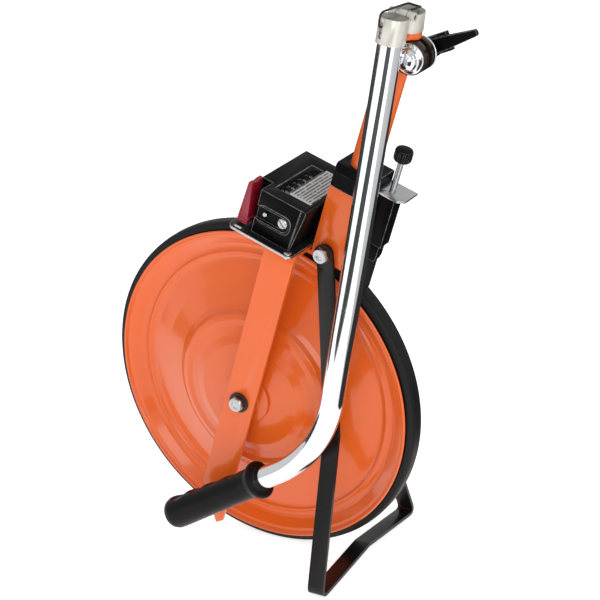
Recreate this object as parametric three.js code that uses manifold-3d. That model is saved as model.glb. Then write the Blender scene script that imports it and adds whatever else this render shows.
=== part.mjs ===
// Folding distance-measuring wheel: one metre of tyre per turn, a forked frame with a counter,
// a kickstand, a push brake and a handle that folds down beside the wheel.
// Millimetres, +Z up, +X forward, the wheel's axle along Y, the near side towards -Y.
import * as THREE from "three";
import { mergeVertices } from "three/addons/utils/BufferGeometryUtils.js";
import Module from "manifold-3d";

const wasm = await Module();
wasm.setup();

// Clearances, and how far a cutting shape runs past what it cuts
const seat = 0.3;
const slip = 0.25;
const camGap = 0.15;
const tyreGap = 0.9;
const overrun = 3;
const mergeGap = 1e-4;

// Facet counts, and the numbers of repeated features
const rimFacets = 60;
const brakeFacets = 120;
const clampFacets = 56;
const tubeFacets = 28;
const smallFacets = 16;
const pinionFacets = 8;
const hexagonSides = 6;
const arcSteps = 8;
const cornerSteps = 4;
const bendSteps = 4;
const wireSides = 3;
const wireSteps = 30;
const coilSides = 2;
const coilStepsPerTurn = 6;
const coilTurns = 7;
const lipPoints = 3;
const drumCount = 5;
const fluteCount = 10;
const fingerCount = 4;

// Shares: the middle, the facet of an eased edge, sheet seen aslant, and the points of a domed cap
const halfShare = 0.5;
const easedShare = 0.3;
const slantShare = 1.1;
const domeShares = { side: 0.45, shoulder: 0.85, rise: 0.8, crown: 0.5 };

// Angles in degrees
const frameLeanDegrees = 21;
const hingeLeanDegrees = 11.2;
const splayDegrees = 5.6;
const gripBendDegrees = 49.7;
const camLeverDegrees = 41;
const turn = Math.PI / 180;

// The wheel: radii and distances from its middle plane
const tyre = { radius: 159.15, depth: 18.65, width: 17.8, tread: 2.2, shoulder: 1.8, seatWidth: 5 };
const sheet = 1.2;
const discFace = {
  lipOut: 12.35, lipBead: 2.6, flareOut: 8.8, grooveOut: 3.4, ridgeOut: 4.1, valleyOut: 1.5, coneOut: 3.4,
  stepRadius: 84, stepOut: 14.6, crownRadius: 75.5, domeRadius: 50, eyeRadius: 27,
};
const discCrown = { crownOut: -14, domeOut: -8, eyeOut: -4.6 };
const discRim = {
  lipRadius: 12.1, flareRadius: 5.5, grooveRadius: -2, flatRadius: -4.5, flatInner: -7.9,
  ridgeRadius: -11.1, valleyRadius: -14.5, coneRadius: -19.5,
};
const hub = { radius: 14, bore: 11.2, reach: 35, flangeRadius: 24, flangeThick: 2.4 };
const bearing = { outer: 10.9, inner: 4.4, width: 7 };
const spacer = { outer: 6.5, bore: 4.4 };
const pulley = { groove: 9, rim: 11.2, bore: 7.2, width: 4.4, lip: 0.7 };
const belt = { thick: 1.5, width: 2.4 };

// The axle and the other hexagon-headed fasteners
const axle = {
  radius: 4, headFlats: 13, headThick: 5.3, nutThick: 6.5, stickOut: 3, washerRadius: 9.6, washerThick: 1.8,
};
const standBolt = {
  radius: 4, headFlats: 13, headThick: 5.3, nutThick: 6.5, stickOut: 3, washerRadius: 8.8, washerThick: 1.6,
};

// The fork: a steel strap bent over the wheel, with the stem's foot in front of it
const fork = {
  width: 30, thick: 3, pastHub: 8.5, overTyre: 8.85, pointerIn: 9, farLow: 24,
  footFront: 51.5, footHalf: 17.6, footDown: 4.1, footStep: 24.5,
};
const pointer = { inside: 19.15, length: 36 };

// The counter's plate and its fasteners, in the fork's frame
const plate = { rear: 51, front: 14.5, pastFork: 9, thick: 2, corner: 6 };
const plateSlot = { fromRear: 8.4, fromSide: 4.7, length: 7.5, width: 3 };
const plateScrew = { fromFront: 5.2, fromSide: 4.4, headRadius: 3.6, headThick: 2, radius: 2, length: 5 };
const beltWay = { front: 0.5, rear: 33, aside: 1.6 };

// The counter
const counter = {
  rear: 43, frontLow: 8.6, frontTop: 15, pastFork: 1, height: 42.2, wall: 2.2, bevel: 1.6,
};
const notch = { front: 31, inner: 26.5 };
const lens = { rear: 25, front: 13.4, near: 30.5, far: 27.5, thick: 2 };
const label = { rear: 11.4, front: 10.2, near: 31, far: 30, thick: 0.4 };
const drums = { rear: 19.2, rise: 28.4, radius: 9, width: 9.2, pitch: 9.8, near: 27, bore: 2.8, shaft: 2.5 };
const carry = { drop: 13, rod: 1.4, pinion: 3.4, pinionWidth: 2.6 };
const recess = { rear: 22.7, front: 4.7, rise: 20.6, radius: 6.6, backReach: 13.2, depth: 3, backing: 2.4 };
const coverScrew = { radius: 5, thick: 2.3, slotWidth: 1.1, slotDepth: 0.9 };
const coverPin = { radius: 2.2, thick: 2.6 };
const resetLever = {
  pivotRear: 39.4, pivotRise: 7.4, rearLow: 47.5, frontLow: 37, rearTop: 44.8, frontTop: 41.2,
  low: 2.8, top: 43.4, inset: 0.5, far: 27.2, dip: 2.4, pinRadius: 1.6,
};

// The stem: a square channel over the stem's foot, a round tube and a plastic collar
const channelPlan = { rear: 17.3, front: 54, halfWidth: 20, wall: 2 };
const channelRise = { low: -5, top: 66 };
const stemPlan = { centre: 35, radius: 12.4, wall: 1.8 };
const stemRise = { low: 14, top: 184 };
const collar = { rear: 16.5, front: 55, halfWidth: 21.3, height: 20.2, bevel: 6, skin: 2.4 };

// The kickstand: its bolt from the channel's rear and foot, and where its strap bends
const stand = {
  boltFront: 13.95, boltRise: 9.5, width: 16, thick: 3, straight: 18, kneeHeight: 140, kneeOut: 35.5,
  footOut: 85, apex: 11, bend: 5, legIn: 21.5,
};

// The push brake in front of the stem
const brakePlan = {
  rodRadius: 2.6, knobRadius: 7.9, knobEdge: 2, bracketThick: 2, bracketNear: 12.2, bracketFar: 14.5,
  bracketCut: 5.5, flangeHalf: 5, housingHalf: 7.4, housingWall: 1.6,
  shoeInset: 0.6, shoeCut: 5, shoeLap: 4, rodSocket: 8, fluteRadius: 1.6,
  padHalf: 3.4, padDepth: 4.4, padGap: 2.6, springRadius: 4.1, springWire: 0.7,
  collarRadius: 4.9, collarThick: 2, collarDown: 4,
};
const brakeForward = { forward: 10.2, bracketFront: 27, housingFront: 17.6 };
const brakeRise = {
  knobLow: 107, knobHigh: 118.5, bracketRise: 76.6, flangeLow: 32, housingLow: 25.5,
  shoeTop: 25, shoeFoot: 9,
};

// The tilt clamp on top of the stem
const clampPlan = {
  nearFace: 9.4, farFace: 8, tongue: 2.6, tongueRadius: 10.6, tongueDrop: 4, bodyRadius: 14.2,
  tongueGap: 0.7, neckRadius: 9, plugRadius: 10.3, boltRadius: 3,
  flangeRadius: 13.2, flangeThick: 1.8, domeRadius: 9.4, domeThick: 8, domeTop: 5,
  ringRadius: 14.4, ringThick: 2, seatRadius: 11.5, seatThick: 2.6, seatDip: 1.6, neckSink: 4,
  camRadius: 8.8, camHalf: 8.2, pinRadius: 1.6, rootLength: 19, rootThick: 3.4,
  armLength: 49, armRoot: 12.4, armTip: 5.6, armThick: 6.4, armTipThick: 3.4,
};
const clampForward = { forward: 15, neckForward: 3 };
const clampRise = { rise: 15, neckRise: 5, plugLow: -18 };
const stub = { offset: 8.8, radius: 11.3, wall: 1.8, low: 6.5, plug: 8.9, plugHigh: 30, slit: 1.6 };

// The folding hinge and the handle
const hinge = {
  rise: 36.5, halfLength: 11.4, halfDepth: 11.4, gap: 2.1, corner: 9.6, farHeight: 16, nearHeight: 21.5,
  faceGap: 0.2, knuckle: 3.6, knuckleHalf: 4.8, pin: 1.7,
  slotSide: -5, slotWidth: 3.6, slotDepth: 5, slotLow: 17.5, slotHigh: 4,
};
const latch = {
  wire: 0.9, side: -5, startIn: 22.6, startDrop: 8, outside: 27.4, over: 3.9, farEnd: 17, curl: 3,
  backSide: 6.4, backEnd: 2,
};
const tube = { radius: 10.3, wall: 1.6, socket: 8, corner: 394, bend: 119, reach: 174 };
const grip = {
  start: 75, end: 190, radius: 13.6, endRadius: 15, endRound: 8, flange: 17.4, flangeThick: 5, neckDown: 10,
  boreEnd: 178, fingerRadius: 18, fingerDepth: 1.7, fingerFirst: 92, fingerPitch: 22.5,
};

// Lengths measured from a datum, as lengths from the origin
function measuredFrom(datum, lengths) {
  return Object.fromEntries(Object.entries(lengths).map(([name, length]) => [name, datum + length]));
}
const seatRadius = tyre.radius - tyre.depth;
const forkTop = tyre.radius + fork.overTyre;
const forkOut = hub.reach + fork.pastHub;
const plateHalf = forkOut + plate.pastFork;
const counterHalf = forkOut + counter.pastFork;
const leverNear = counterHalf - resetLever.inset;
const disc = {
  ...discFace,
  ...measuredFrom(seatRadius, discRim),
  ...measuredFrom(hub.reach, discCrown),
};
const channel = { ...channelPlan, ...measuredFrom(forkTop, channelRise) };
const stem = { ...stemPlan, ...measuredFrom(forkTop, stemRise) };
const brake = {
  ...brakePlan,
  ...measuredFrom(collar.front, brakeForward),
  ...measuredFrom(forkTop, brakeRise),
};
const clamp = {
  ...clampPlan,
  ...measuredFrom(stem.centre, clampForward),
  ...measuredFrom(stem.top, clampRise),
};

// Colours and finishes
const finishes = {
  orange: { color: 0xd95a28, roughness: 0.28, metalness: 0.1 },
  rubber: { color: 0x1d1d1e, roughness: 0.8, metalness: 0 },
  plastic: { color: 0x141415, roughness: 0.4, metalness: 0 },
  red: { color: 0xb5202f, roughness: 0.35, metalness: 0 },
  zinc: { color: 0xc4c6c8, roughness: 0.28, metalness: 0.9 },
  steel: { color: 0xa9abad, roughness: 0.4, metalness: 0.9 },
  chrome: { color: 0xe2e4e6, roughness: 0.08, metalness: 1 },
  blackPaint: { color: 0x19191a, roughness: 0.35, metalness: 0.2 },
  darkSteel: { color: 0x2c2a2b, roughness: 0.45, metalness: 0.6 },
  cream: { color: 0xd9d6ca, roughness: 0.5, metalness: 0.1 },
  clear: { color: 0xbfc4c6, roughness: 0.1, metalness: 0 },
  white: { color: 0xe6e6e2, roughness: 0.5, metalness: 0 },
};

// A closed three.js geometry as a solid
function solidOf(geometry) {
  const bare = geometry.index ? geometry.toNonIndexed() : geometry.clone();
  const position = new THREE.BufferGeometry().setAttribute("position", bare.getAttribute("position"));
  const merged = mergeVertices(position, mergeGap);
  return new wasm.Manifold(
    new wasm.Mesh({
      numProp: 3,
      vertProperties: merged.attributes.position.array,
      triVerts: new Uint32Array(merged.index.array),
    }),
  );
}

// A solid back to a three.js geometry
function geometryOf(solid) {
  const mesh = solid.getMesh();
  const positions = new Float32Array(mesh.numVert * 3);
  for (let i = 0; i < mesh.numVert; i += 1) {
    positions.set(mesh.vertProperties.subarray(i * mesh.numProp, i * mesh.numProp + 3), i * 3);
  }
  const geometry = new THREE.BufferGeometry();
  geometry.setAttribute("position", new THREE.BufferAttribute(positions, 3));
  geometry.setIndex(new THREE.BufferAttribute(mesh.triVerts, 1));
  const flat = geometry.toNonIndexed();
  flat.computeVertexNormals();
  return flat;
}

// All the solids joined, and a solid with others cut away
const joined = (...solids) => solids.reduce((sum, solid) => sum.add(solid));
const cut = (solid, ...tools) => tools.reduce((rest, tool) => rest.subtract(tool), solid);

// A box between two corners
function block(x0, x1, y0, y1, z0, z1) {
  const geometry = new THREE.BoxGeometry(x1 - x0, y1 - y0, z1 - z0);
  geometry.translate((x0 + x1) * halfShare, (y0 + y1) * halfShare, (z0 + z1) * halfShare);
  return solidOf(geometry);
}

// A round bar along Y between two planes
function barY(radius, y0, y1, x = 0, z = 0, facets = smallFacets) {
  const geometry = new THREE.CylinderGeometry(radius, radius, y1 - y0, facets);
  geometry.translate(x, (y0 + y1) * halfShare, z);
  return solidOf(geometry);
}

// A round bar along Z between two heights
function barZ(radius, z0, z1, x = 0, y = 0, facets = smallFacets) {
  const geometry = new THREE.CylinderGeometry(radius, radius, z1 - z0, facets);
  geometry.rotateX(Math.PI * halfShare);
  geometry.translate(x, y, (z0 + z1) * halfShare);
  return solidOf(geometry);
}

// A round bar along X between two planes
function barX(radius, x0, x1, y = 0, z = 0, facets = smallFacets) {
  const geometry = new THREE.CylinderGeometry(radius, radius, x1 - x0, facets);
  geometry.rotateZ(Math.PI * halfShare);
  geometry.translate((x0 + x1) * halfShare, y, z);
  return solidOf(geometry);
}

// A hexagon prism along Y, given its size across flats
function hexY(flats, y0, y1, x = 0, z = 0) {
  const radius = (flats * halfShare) / Math.cos(Math.PI / hexagonSides);
  const geometry = new THREE.CylinderGeometry(radius, radius, y1 - y0, hexagonSides);
  geometry.translate(x, (y0 + y1) * halfShare, z);
  return solidOf(geometry);
}

// A profile of radius and distance pairs turned about Y
function turnedY(points, facets) {
  const profile = points.map(([radius, along]) => new THREE.Vector2(radius, along));
  return solidOf(new THREE.LatheGeometry(profile, facets));
}

// A profile of radius and height pairs turned about Z
function turnedZ(points, facets) {
  const profile = points.map(([radius, along]) => new THREE.Vector2(radius, along));
  const geometry = new THREE.LatheGeometry(profile, facets);
  geometry.rotateX(Math.PI * halfShare);
  return solidOf(geometry);
}

// An outline in X and Z drawn out along Y
function slabY(shape, y0, y1) {
  const geometry = new THREE.ExtrudeGeometry(
    shape,
    { depth: y1 - y0, bevelEnabled: false, curveSegments: arcSteps },
  );
  geometry.rotateX(Math.PI * halfShare);
  geometry.translate(0, y1, 0);
  return solidOf(geometry);
}

// An outline in X and Y drawn out along Z
function slabZ(shape, z0, z1) {
  const geometry = new THREE.ExtrudeGeometry(
    shape,
    { depth: z1 - z0, bevelEnabled: false, curveSegments: cornerSteps },
  );
  geometry.translate(0, 0, z0);
  return solidOf(geometry);
}

// An outline in Y and Z drawn out along X
function slabX(shape, x0, x1) {
  const geometry = new THREE.ExtrudeGeometry(shape, { depth: x1 - x0, bevelEnabled: false });
  geometry.applyMatrix4(
    new THREE.Matrix4().makeBasis(
      new THREE.Vector3(0, 1, 0),
      new THREE.Vector3(0, 0, 1),
      new THREE.Vector3(1, 0, 0),
    ),
  );
  geometry.translate(x0, 0, 0);
  return solidOf(geometry);
}

// A round wire along a smooth route
function wireAlong(points, radius, steps, sides) {
  const circle = new THREE.Shape();
  circle.absarc(0, 0, radius, 0, Math.PI * 2);
  const route = new THREE.CatmullRomCurve3(points, false, "catmullrom", halfShare);
  const geometry = new THREE.ExtrudeGeometry(circle, {
    steps,
    curveSegments: sides,
    extrudePath: route,
    bevelEnabled: false,
  });
  return solidOf(geometry);
}

// A round solid through stations of position, direction and radius in the plane of X and Z
function sweptXZ(stations, facets) {
  const ring = stations.flatMap(({ x, z, along, radius }) =>
    Array.from({ length: facets }, (_, k) => {
      const spin = (k / facets) * Math.PI * 2;
      const side = Math.cos(spin) * radius;
      return [x - Math.sin(along) * side, Math.sin(spin) * radius, z + Math.cos(along) * side];
    }),
  );
  const last = (stations.length - 1) * facets;
  const faces = [];
  for (let k = 0; k < facets; k += 1) {
    const next = (k + 1) % facets;
    for (let row = 0; row < last; row += facets) {
      faces.push(row + k, row + facets + next, row + next);
      faces.push(row + k, row + facets + k, row + facets + next);
    }
    if (k > 0 && k < facets - 1) {
      faces.push(0, k, k + 1);
      faces.push(last, last + k + 1, last + k);
    }
  }
  const geometry = new THREE.BufferGeometry();
  geometry.setAttribute("position", new THREE.BufferAttribute(new Float32Array(ring.flat()), 3));
  geometry.setIndex(faces);
  return solidOf(geometry);
}

// Outlines: straight-sided, rounded rectangle, and the hull of two circles
function outline(points) {
  return new THREE.Shape(points.map(([x, y]) => new THREE.Vector2(x, y)));
}

function roundedRectangle(x0, x1, y0, y1, radius) {
  const shape = new THREE.Shape();
  shape.absarc(x1 - radius, y0 + radius, radius, -Math.PI * halfShare, 0);
  shape.absarc(x1 - radius, y1 - radius, radius, 0, Math.PI * halfShare);
  shape.absarc(x0 + radius, y1 - radius, radius, Math.PI * halfShare, Math.PI);
  shape.absarc(x0 + radius, y0 + radius, radius, Math.PI, Math.PI * (1 + halfShare));
  return shape;
}

function rounded(ax, az, aRadius, bx, bz, bRadius) {
  const distance = Math.hypot(bx - ax, bz - az);
  const along = Math.atan2(bz - az, bx - ax);
  const open = Math.acos((aRadius - bRadius) / distance);
  const shape = new THREE.Shape();
  shape.absarc(bx, bz, bRadius, along - open, along + open);
  shape.absarc(ax, az, aRadius, along + open, along - open + Math.PI * 2);
  return shape;
}

// The edges of a strap of even thickness along a bent line
function strapEdges(line, thickness) {
  const side = (sign) =>
    line.map(([x, y], i) => {
      const [px, py] = line[Math.max(i - 1, 0)];
      const [nx, ny] = line[Math.min(i + 1, line.length - 1)];
      const before = i > 0 ? Math.atan2(y - py, x - px) : Math.atan2(ny - y, nx - x);
      const after = i < line.length - 1 ? Math.atan2(ny - y, nx - x) : before;
      const bisector = (before + after) * halfShare;
      const reach = (thickness * halfShare * sign) / Math.cos((after - before) * halfShare);
      return [x - Math.sin(bisector) * reach, y + Math.cos(bisector) * reach];
    });
  return [...side(1), ...side(-1).reverse()];
}

// A bent line with each corner rounded in a few steps
function easedLine(line, radius) {
  return line.flatMap(([x, y], i) => {
    if (i === 0 || i === line.length - 1) return [[x, y]];
    const before = Math.atan2(y - line[i - 1][1], x - line[i - 1][0]);
    const after = Math.atan2(line[i + 1][1] - y, line[i + 1][0] - x);
    const swing = Math.atan2(Math.sin(after - before), Math.cos(after - before));
    const back = radius * Math.tan(Math.abs(swing) * halfShare);
    const hand = Math.sign(swing);
    const startX = x - Math.cos(before) * back;
    const startY = y - Math.sin(before) * back;
    const middleX = startX - Math.sin(before) * radius * hand;
    const middleY = startY + Math.cos(before) * radius * hand;
    return Array.from({ length: bendSteps + 1 }, (_, k) => {
      const angle = before + (swing * k) / bendSteps;
      return [middleX + Math.sin(angle) * radius * hand, middleY - Math.cos(angle) * radius * hand];
    });
  });
}

// A named mesh with its own material
function piece(name, solid, finish) {
  const mesh = new THREE.Mesh(geometryOf(solid), new THREE.MeshStandardMaterial(finishes[finish]));
  mesh.name = name;
  return mesh;
}

const part = new THREE.Group();
const wheelGroup = new THREE.Group();
const frameGroup = new THREE.Group();
const standGroup = new THREE.Group();
const tiltGroup = new THREE.Group();
const camGroup = new THREE.Group();
const handleGroup = new THREE.Group();
part.add(wheelGroup, frameGroup, standGroup);
frameGroup.add(tiltGroup, camGroup);
tiltGroup.add(handleGroup);
wheelGroup.position.set(0, 0, tyre.radius);
frameGroup.position.set(0, 0, tyre.radius);
frameGroup.rotation.y = frameLeanDegrees * turn;

// Tyre
const halfTyre = tyre.width * halfShare;
const rimSlope = (disc.flareOut - disc.grooveOut) / (disc.flareRadius - disc.grooveRadius);
const rimInside = (radius) => disc.grooveOut + (radius - disc.grooveRadius) * rimSlope - sheet - tyreGap;
const bedRadius = seatRadius + tyre.seatWidth;
wheelGroup.add(
  piece(
    "tyre",
    turnedY(
      [
        [seatRadius, -rimInside(seatRadius)],
        [bedRadius, -rimInside(bedRadius)],
        [disc.lipRadius, -halfTyre],
        [tyre.radius - tyre.tread, -halfTyre],
        [tyre.radius - tyre.tread * easedShare, -halfTyre + tyre.shoulder],
        [tyre.radius, 0],
        [tyre.radius - tyre.tread * easedShare, halfTyre - tyre.shoulder],
        [tyre.radius - tyre.tread, halfTyre],
        [disc.lipRadius, halfTyre],
        [bedRadius, rimInside(bedRadius)],
        [seatRadius, rimInside(seatRadius)],
        [seatRadius, -rimInside(seatRadius)],
      ],
      rimFacets,
    ),
    "rubber",
  ),
);

// The two pressed halves of the wheel, back to back on the middle plane
function wheelHalf(side) {
  const face = [
    [disc.eyeRadius, disc.eyeOut],
    [disc.domeRadius, disc.domeOut],
    [disc.crownRadius, disc.crownOut],
    [disc.stepRadius, disc.stepOut],
    [disc.coneRadius, disc.coneOut],
    [disc.valleyRadius, disc.valleyOut],
    [disc.ridgeRadius, disc.ridgeOut],
    [disc.flatInner, sheet + seat],
    [disc.flatRadius, sheet + seat],
    [disc.grooveRadius, disc.grooveOut],
    [disc.flareRadius, disc.flareOut],
    [disc.lipRadius - disc.lipBead * halfShare, disc.lipOut],
    [disc.lipRadius, disc.lipOut - disc.lipBead * halfShare],
    [disc.lipRadius - disc.lipBead * halfShare, disc.lipOut - disc.lipBead],
  ];
  const back = face
    .slice(0, -lipPoints)
    .map(([radius, out]) => [radius, Math.max(out - sheet * slantShare, seat * halfShare)]);
  back[0] = [hub.radius + seat, disc.eyeOut - sheet * halfShare];
  const front = [[hub.radius + seat, disc.eyeOut + sheet * halfShare], ...face];
  const loop = [...back, ...front.reverse(), back[0]];
  const placed = loop.map(([radius, out]) => [radius, out * side]);
  return turnedY(side > 0 ? placed : placed.reverse(), rimFacets);
}
wheelGroup.add(piece("near_wheel_half", wheelHalf(-1), "orange"));
wheelGroup.add(piece("far_wheel_half", wheelHalf(1), "orange"));

// Hub with a welded flange at each end
const flangeIn = disc.eyeOut + sheet * halfShare + seat;
const flangeOut = flangeIn + hub.flangeThick;
wheelGroup.add(
  piece(
    "hub",
    turnedY(
      [
        [hub.bore, -hub.reach],
        [hub.radius, -hub.reach],
        [hub.radius, -flangeOut],
        [hub.flangeRadius, -flangeOut],
        [hub.flangeRadius, -flangeIn],
        [hub.radius, -flangeIn],
        [hub.radius, flangeIn],
        [hub.flangeRadius, flangeIn],
        [hub.flangeRadius, flangeOut],
        [hub.radius, flangeOut],
        [hub.radius, hub.reach],
        [hub.bore, hub.reach],
        [hub.bore, -hub.reach],
      ],
      tubeFacets,
    ),
    "orange",
  ),
);

// Bearings, the sleeve between them and the spacers outside them
function ringY(outer, inner, y0, y1, facets) {
  return turnedY([[inner, y0], [outer, y0], [outer, y1], [inner, y1], [inner, y0]], facets);
}
const bearingIn = hub.reach - bearing.width;
const legInside = forkOut - fork.thick;
wheelGroup.add(
  piece("near_bearing", ringY(bearing.outer, bearing.inner, -hub.reach, -bearingIn, smallFacets), "steel"),
);
wheelGroup.add(
  piece("far_bearing", ringY(bearing.outer, bearing.inner, bearingIn, hub.reach, smallFacets), "steel"),
);
frameGroup.add(
  piece(
    "bearing_sleeve",
    ringY(spacer.outer, spacer.bore, -bearingIn + seat, bearingIn - seat, smallFacets),
    "steel",
  ),
);
const spacerIn = hub.reach + seat;
const spacerOut = legInside - seat;
frameGroup.add(
  piece("near_axle_spacer", ringY(spacer.outer, spacer.bore, -spacerOut, -spacerIn, smallFacets), "steel"),
);
frameGroup.add(
  piece("far_axle_spacer", ringY(spacer.outer, spacer.bore, spacerIn, spacerOut, smallFacets), "steel"),
);

// A grooved pulley along Y, from its inner to its outer end
function pulleyY(bore, y0) {
  const y1 = y0 + pulley.width;
  return turnedY(
    [
      [bore, y0],
      [pulley.rim, y0],
      [pulley.rim, y0 + pulley.lip],
      [pulley.groove, y0 + pulley.lip],
      [pulley.groove, y1 - pulley.lip],
      [pulley.rim, y1 - pulley.lip],
      [pulley.rim, y1],
      [bore, y1],
      [bore, y0],
    ],
    smallFacets,
  );
}
const pulleyIn = hub.reach + seat;
wheelGroup.add(piece("drive_pulley", pulleyY(pulley.bore, pulleyIn), "plastic"));

// Axle bolt, its washer and its nut
const washerOut = forkOut + seat + axle.washerThick;
const headIn = washerOut + seat;
const axleNutIn = forkOut + seat;
frameGroup.add(
  piece(
    "axle_bolt",
    joined(
      hexY(axle.headFlats, -headIn - axle.headThick, -headIn),
      barY(axle.radius, -headIn - seat, axleNutIn + axle.nutThick + axle.stickOut),
    ),
    "zinc",
  ),
);
frameGroup.add(
  piece(
    "near_axle_washer",
    ringY(axle.washerRadius, axle.radius + slip, -washerOut, -forkOut - seat, smallFacets),
    "darkSteel",
  ),
);
frameGroup.add(
  piece(
    "axle_nut",
    cut(
      hexY(axle.headFlats, axleNutIn, axleNutIn + axle.nutThick),
      barY(axle.radius + slip, axleNutIn - overrun, axleNutIn + axle.nutThick + overrun),
    ),
    "zinc",
  ),
);

// Fork: near leg with the start pointer, bridge, far leg and the stem's foot
const legHalf = fork.width * halfShare;
const bridgeLow = forkTop - fork.thick;
const pointerLow = tyre.radius - pointer.inside;
const nearLeg = slabY(
  outline([
    [-legHalf, forkTop],
    [-legHalf, -pointerLow + pointer.length],
    [fork.pointerIn, -pointerLow],
    [legHalf, -pointerLow + legHalf - fork.pointerIn],
    [legHalf, forkTop],
  ]),
  -forkOut,
  -legInside,
);
const farLeg = joined(
  block(-legHalf, legHalf, legInside, forkOut, -fork.farLow + legHalf, forkTop),
  barY(legHalf, legInside, forkOut, 0, -fork.farLow + legHalf, tubeFacets),
);
const bridge = block(-legHalf, legHalf, -forkOut, forkOut, bridgeLow, forkTop);
const footTop = forkTop - fork.footDown;
const footLow = footTop - fork.thick;
const foot = joined(
  block(-legHalf, fork.footFront, -fork.footHalf, fork.footHalf, footLow, footTop),
  block(-legHalf, fork.footStep, -fork.footHalf, fork.footHalf, footLow, forkTop),
);
const beltMiddle = pulleyIn + pulley.width * halfShare;
const beltHalf = belt.width * halfShare;
const beltWayHalf = beltHalf + beltWay.aside;
const beltGate = block(
  -beltWay.rear,
  -beltWay.front,
  beltMiddle - beltWayHalf,
  beltMiddle + beltWayHalf,
  footLow - overrun,
  forkTop + overrun,
);
frameGroup.add(
  piece(
    "fork",
    cut(
      joined(nearLeg, farLeg, bridge, foot),
      barY(axle.radius + slip, -forkOut - overrun, forkOut + overrun),
      beltGate,
    ),
    "orange",
  ),
);

// Mounting plate under the counter
const plateLow = forkTop + seat;
const plateTop = plateLow + plate.thick;
const slotX = -plate.rear + plateSlot.fromRear;
const slotY = -plateHalf + plateSlot.fromSide;
const screwX = plate.front - plateScrew.fromFront;
const screwY = plateHalf - plateScrew.fromSide;
const slotRun = (plateSlot.length - plateSlot.width) * halfShare;
const slotShape = rounded(
  slotX - slotRun,
  slotY,
  plateSlot.width * halfShare,
  slotX + slotRun,
  slotY,
  plateSlot.width * halfShare,
);
const plateWay = block(
  -beltWay.rear,
  -beltWay.front,
  beltMiddle - beltWayHalf,
  beltMiddle + beltWayHalf,
  plateLow - overrun,
  plateTop + overrun,
);
frameGroup.add(
  piece(
    "mounting_plate",
    cut(
      slabZ(
        roundedRectangle(-plate.rear, plate.front, -plateHalf, plateHalf, plate.corner),
        plateLow,
        plateTop,
      ),
      slabZ(slotShape, plateLow - overrun, plateTop + overrun),
      barZ(plateScrew.radius + slip, plateLow - overrun, plateTop + overrun, screwX, -screwY),
      plateWay,
    ),
    "zinc",
  ),
);
const screwHeadLow = plateTop + seat;
const plateScrewMesh = piece(
  "plate_screw",
  turnedZ(
    [
      [0, screwHeadLow - plateScrew.length],
      [plateScrew.radius, screwHeadLow - plateScrew.length],
      [plateScrew.radius, screwHeadLow],
      [plateScrew.headRadius, screwHeadLow],
      [plateScrew.headRadius, screwHeadLow + plateScrew.headThick * halfShare],
      [plateScrew.headRadius * halfShare, screwHeadLow + plateScrew.headThick],
      [0, screwHeadLow + plateScrew.headThick],
    ],
    smallFacets,
  ),
  "zinc",
);
plateScrewMesh.position.set(screwX, -screwY, 0);
frameGroup.add(plateScrewMesh);

// Counter case: hollow, open below, with a corner notch for the reset lever
const caseLow = plateTop + seat;
const caseTop = caseLow + counter.height;
const innerTop = caseTop - counter.wall;
function caseSolid(inset, low, high) {
  const slope = (counter.frontTop - counter.frontLow) / counter.height;
  const frontAt = (z) => counter.frontLow + (z - caseLow) * slope - inset;
  const bevel = inset > 0 ? 0 : counter.bevel;
  const solid = slabY(
    outline([
      [-counter.rear + inset, low],
      [frontAt(low), low],
      [frontAt(high - bevel), high - bevel],
      [frontAt(high) - bevel, high],
      [-counter.rear + inset + bevel, high],
      [-counter.rear + inset, high - bevel],
    ]),
    -counterHalf + inset,
    counterHalf - inset,
  );
  const notchCut = block(
    -counter.rear - overrun,
    -notch.front + inset,
    -counterHalf - overrun,
    -notch.inner + inset,
    low - overrun,
    high + overrun,
  );
  return solid.subtract(notchCut);
}
const recessZ = caseLow + recess.rise;
const recessFloor = -counterHalf + recess.depth;
const recessRear = -recess.rear - recess.backReach;
const recessShape = rounded(recessRear, recessZ, recess.radius, -recess.front, recessZ, recess.radius);
const backing = block(
  -notch.front + counter.wall * halfShare,
  -recess.front + recess.radius + counter.wall,
  -counterHalf + counter.wall * halfShare,
  recessFloor + recess.backing,
  recessZ - recess.radius - counter.wall,
  recessZ + recess.radius + counter.wall,
);
const lensCut = block(-lens.rear, -lens.front, -lens.near, lens.far, innerTop - overrun, caseTop + overrun);
const leverZ = caseLow + resetLever.pivotRise;
frameGroup.add(
  piece(
    "counter_case",
    cut(
      joined(
        cut(caseSolid(0, caseLow, caseTop), caseSolid(counter.wall, caseLow - overrun, innerTop)),
        backing,
      ),
      slabY(recessShape, -counterHalf - overrun, recessFloor),
      lensCut,
      barY(
        resetLever.pinRadius + slip,
        -notch.inner - overrun,
        -notch.inner + counter.wall + overrun,
        -resetLever.pivotRear,
        leverZ,
      ),
    ),
    "plastic",
  ),
);

// Window over the figures, and the plain label beside it
frameGroup.add(
  piece(
    "counter_window",
    block(
      -lens.rear + seat,
      -lens.front - seat,
      -lens.near + seat,
      lens.far - seat,
      caseTop - lens.thick,
      caseTop - seat,
    ),
    "clear",
  ),
);
frameGroup.add(
  piece(
    "label_plate",
    block(-label.rear, label.front, -label.near, label.far, caseTop + seat, caseTop + seat + label.thick),
    "white",
  ),
);

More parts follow.
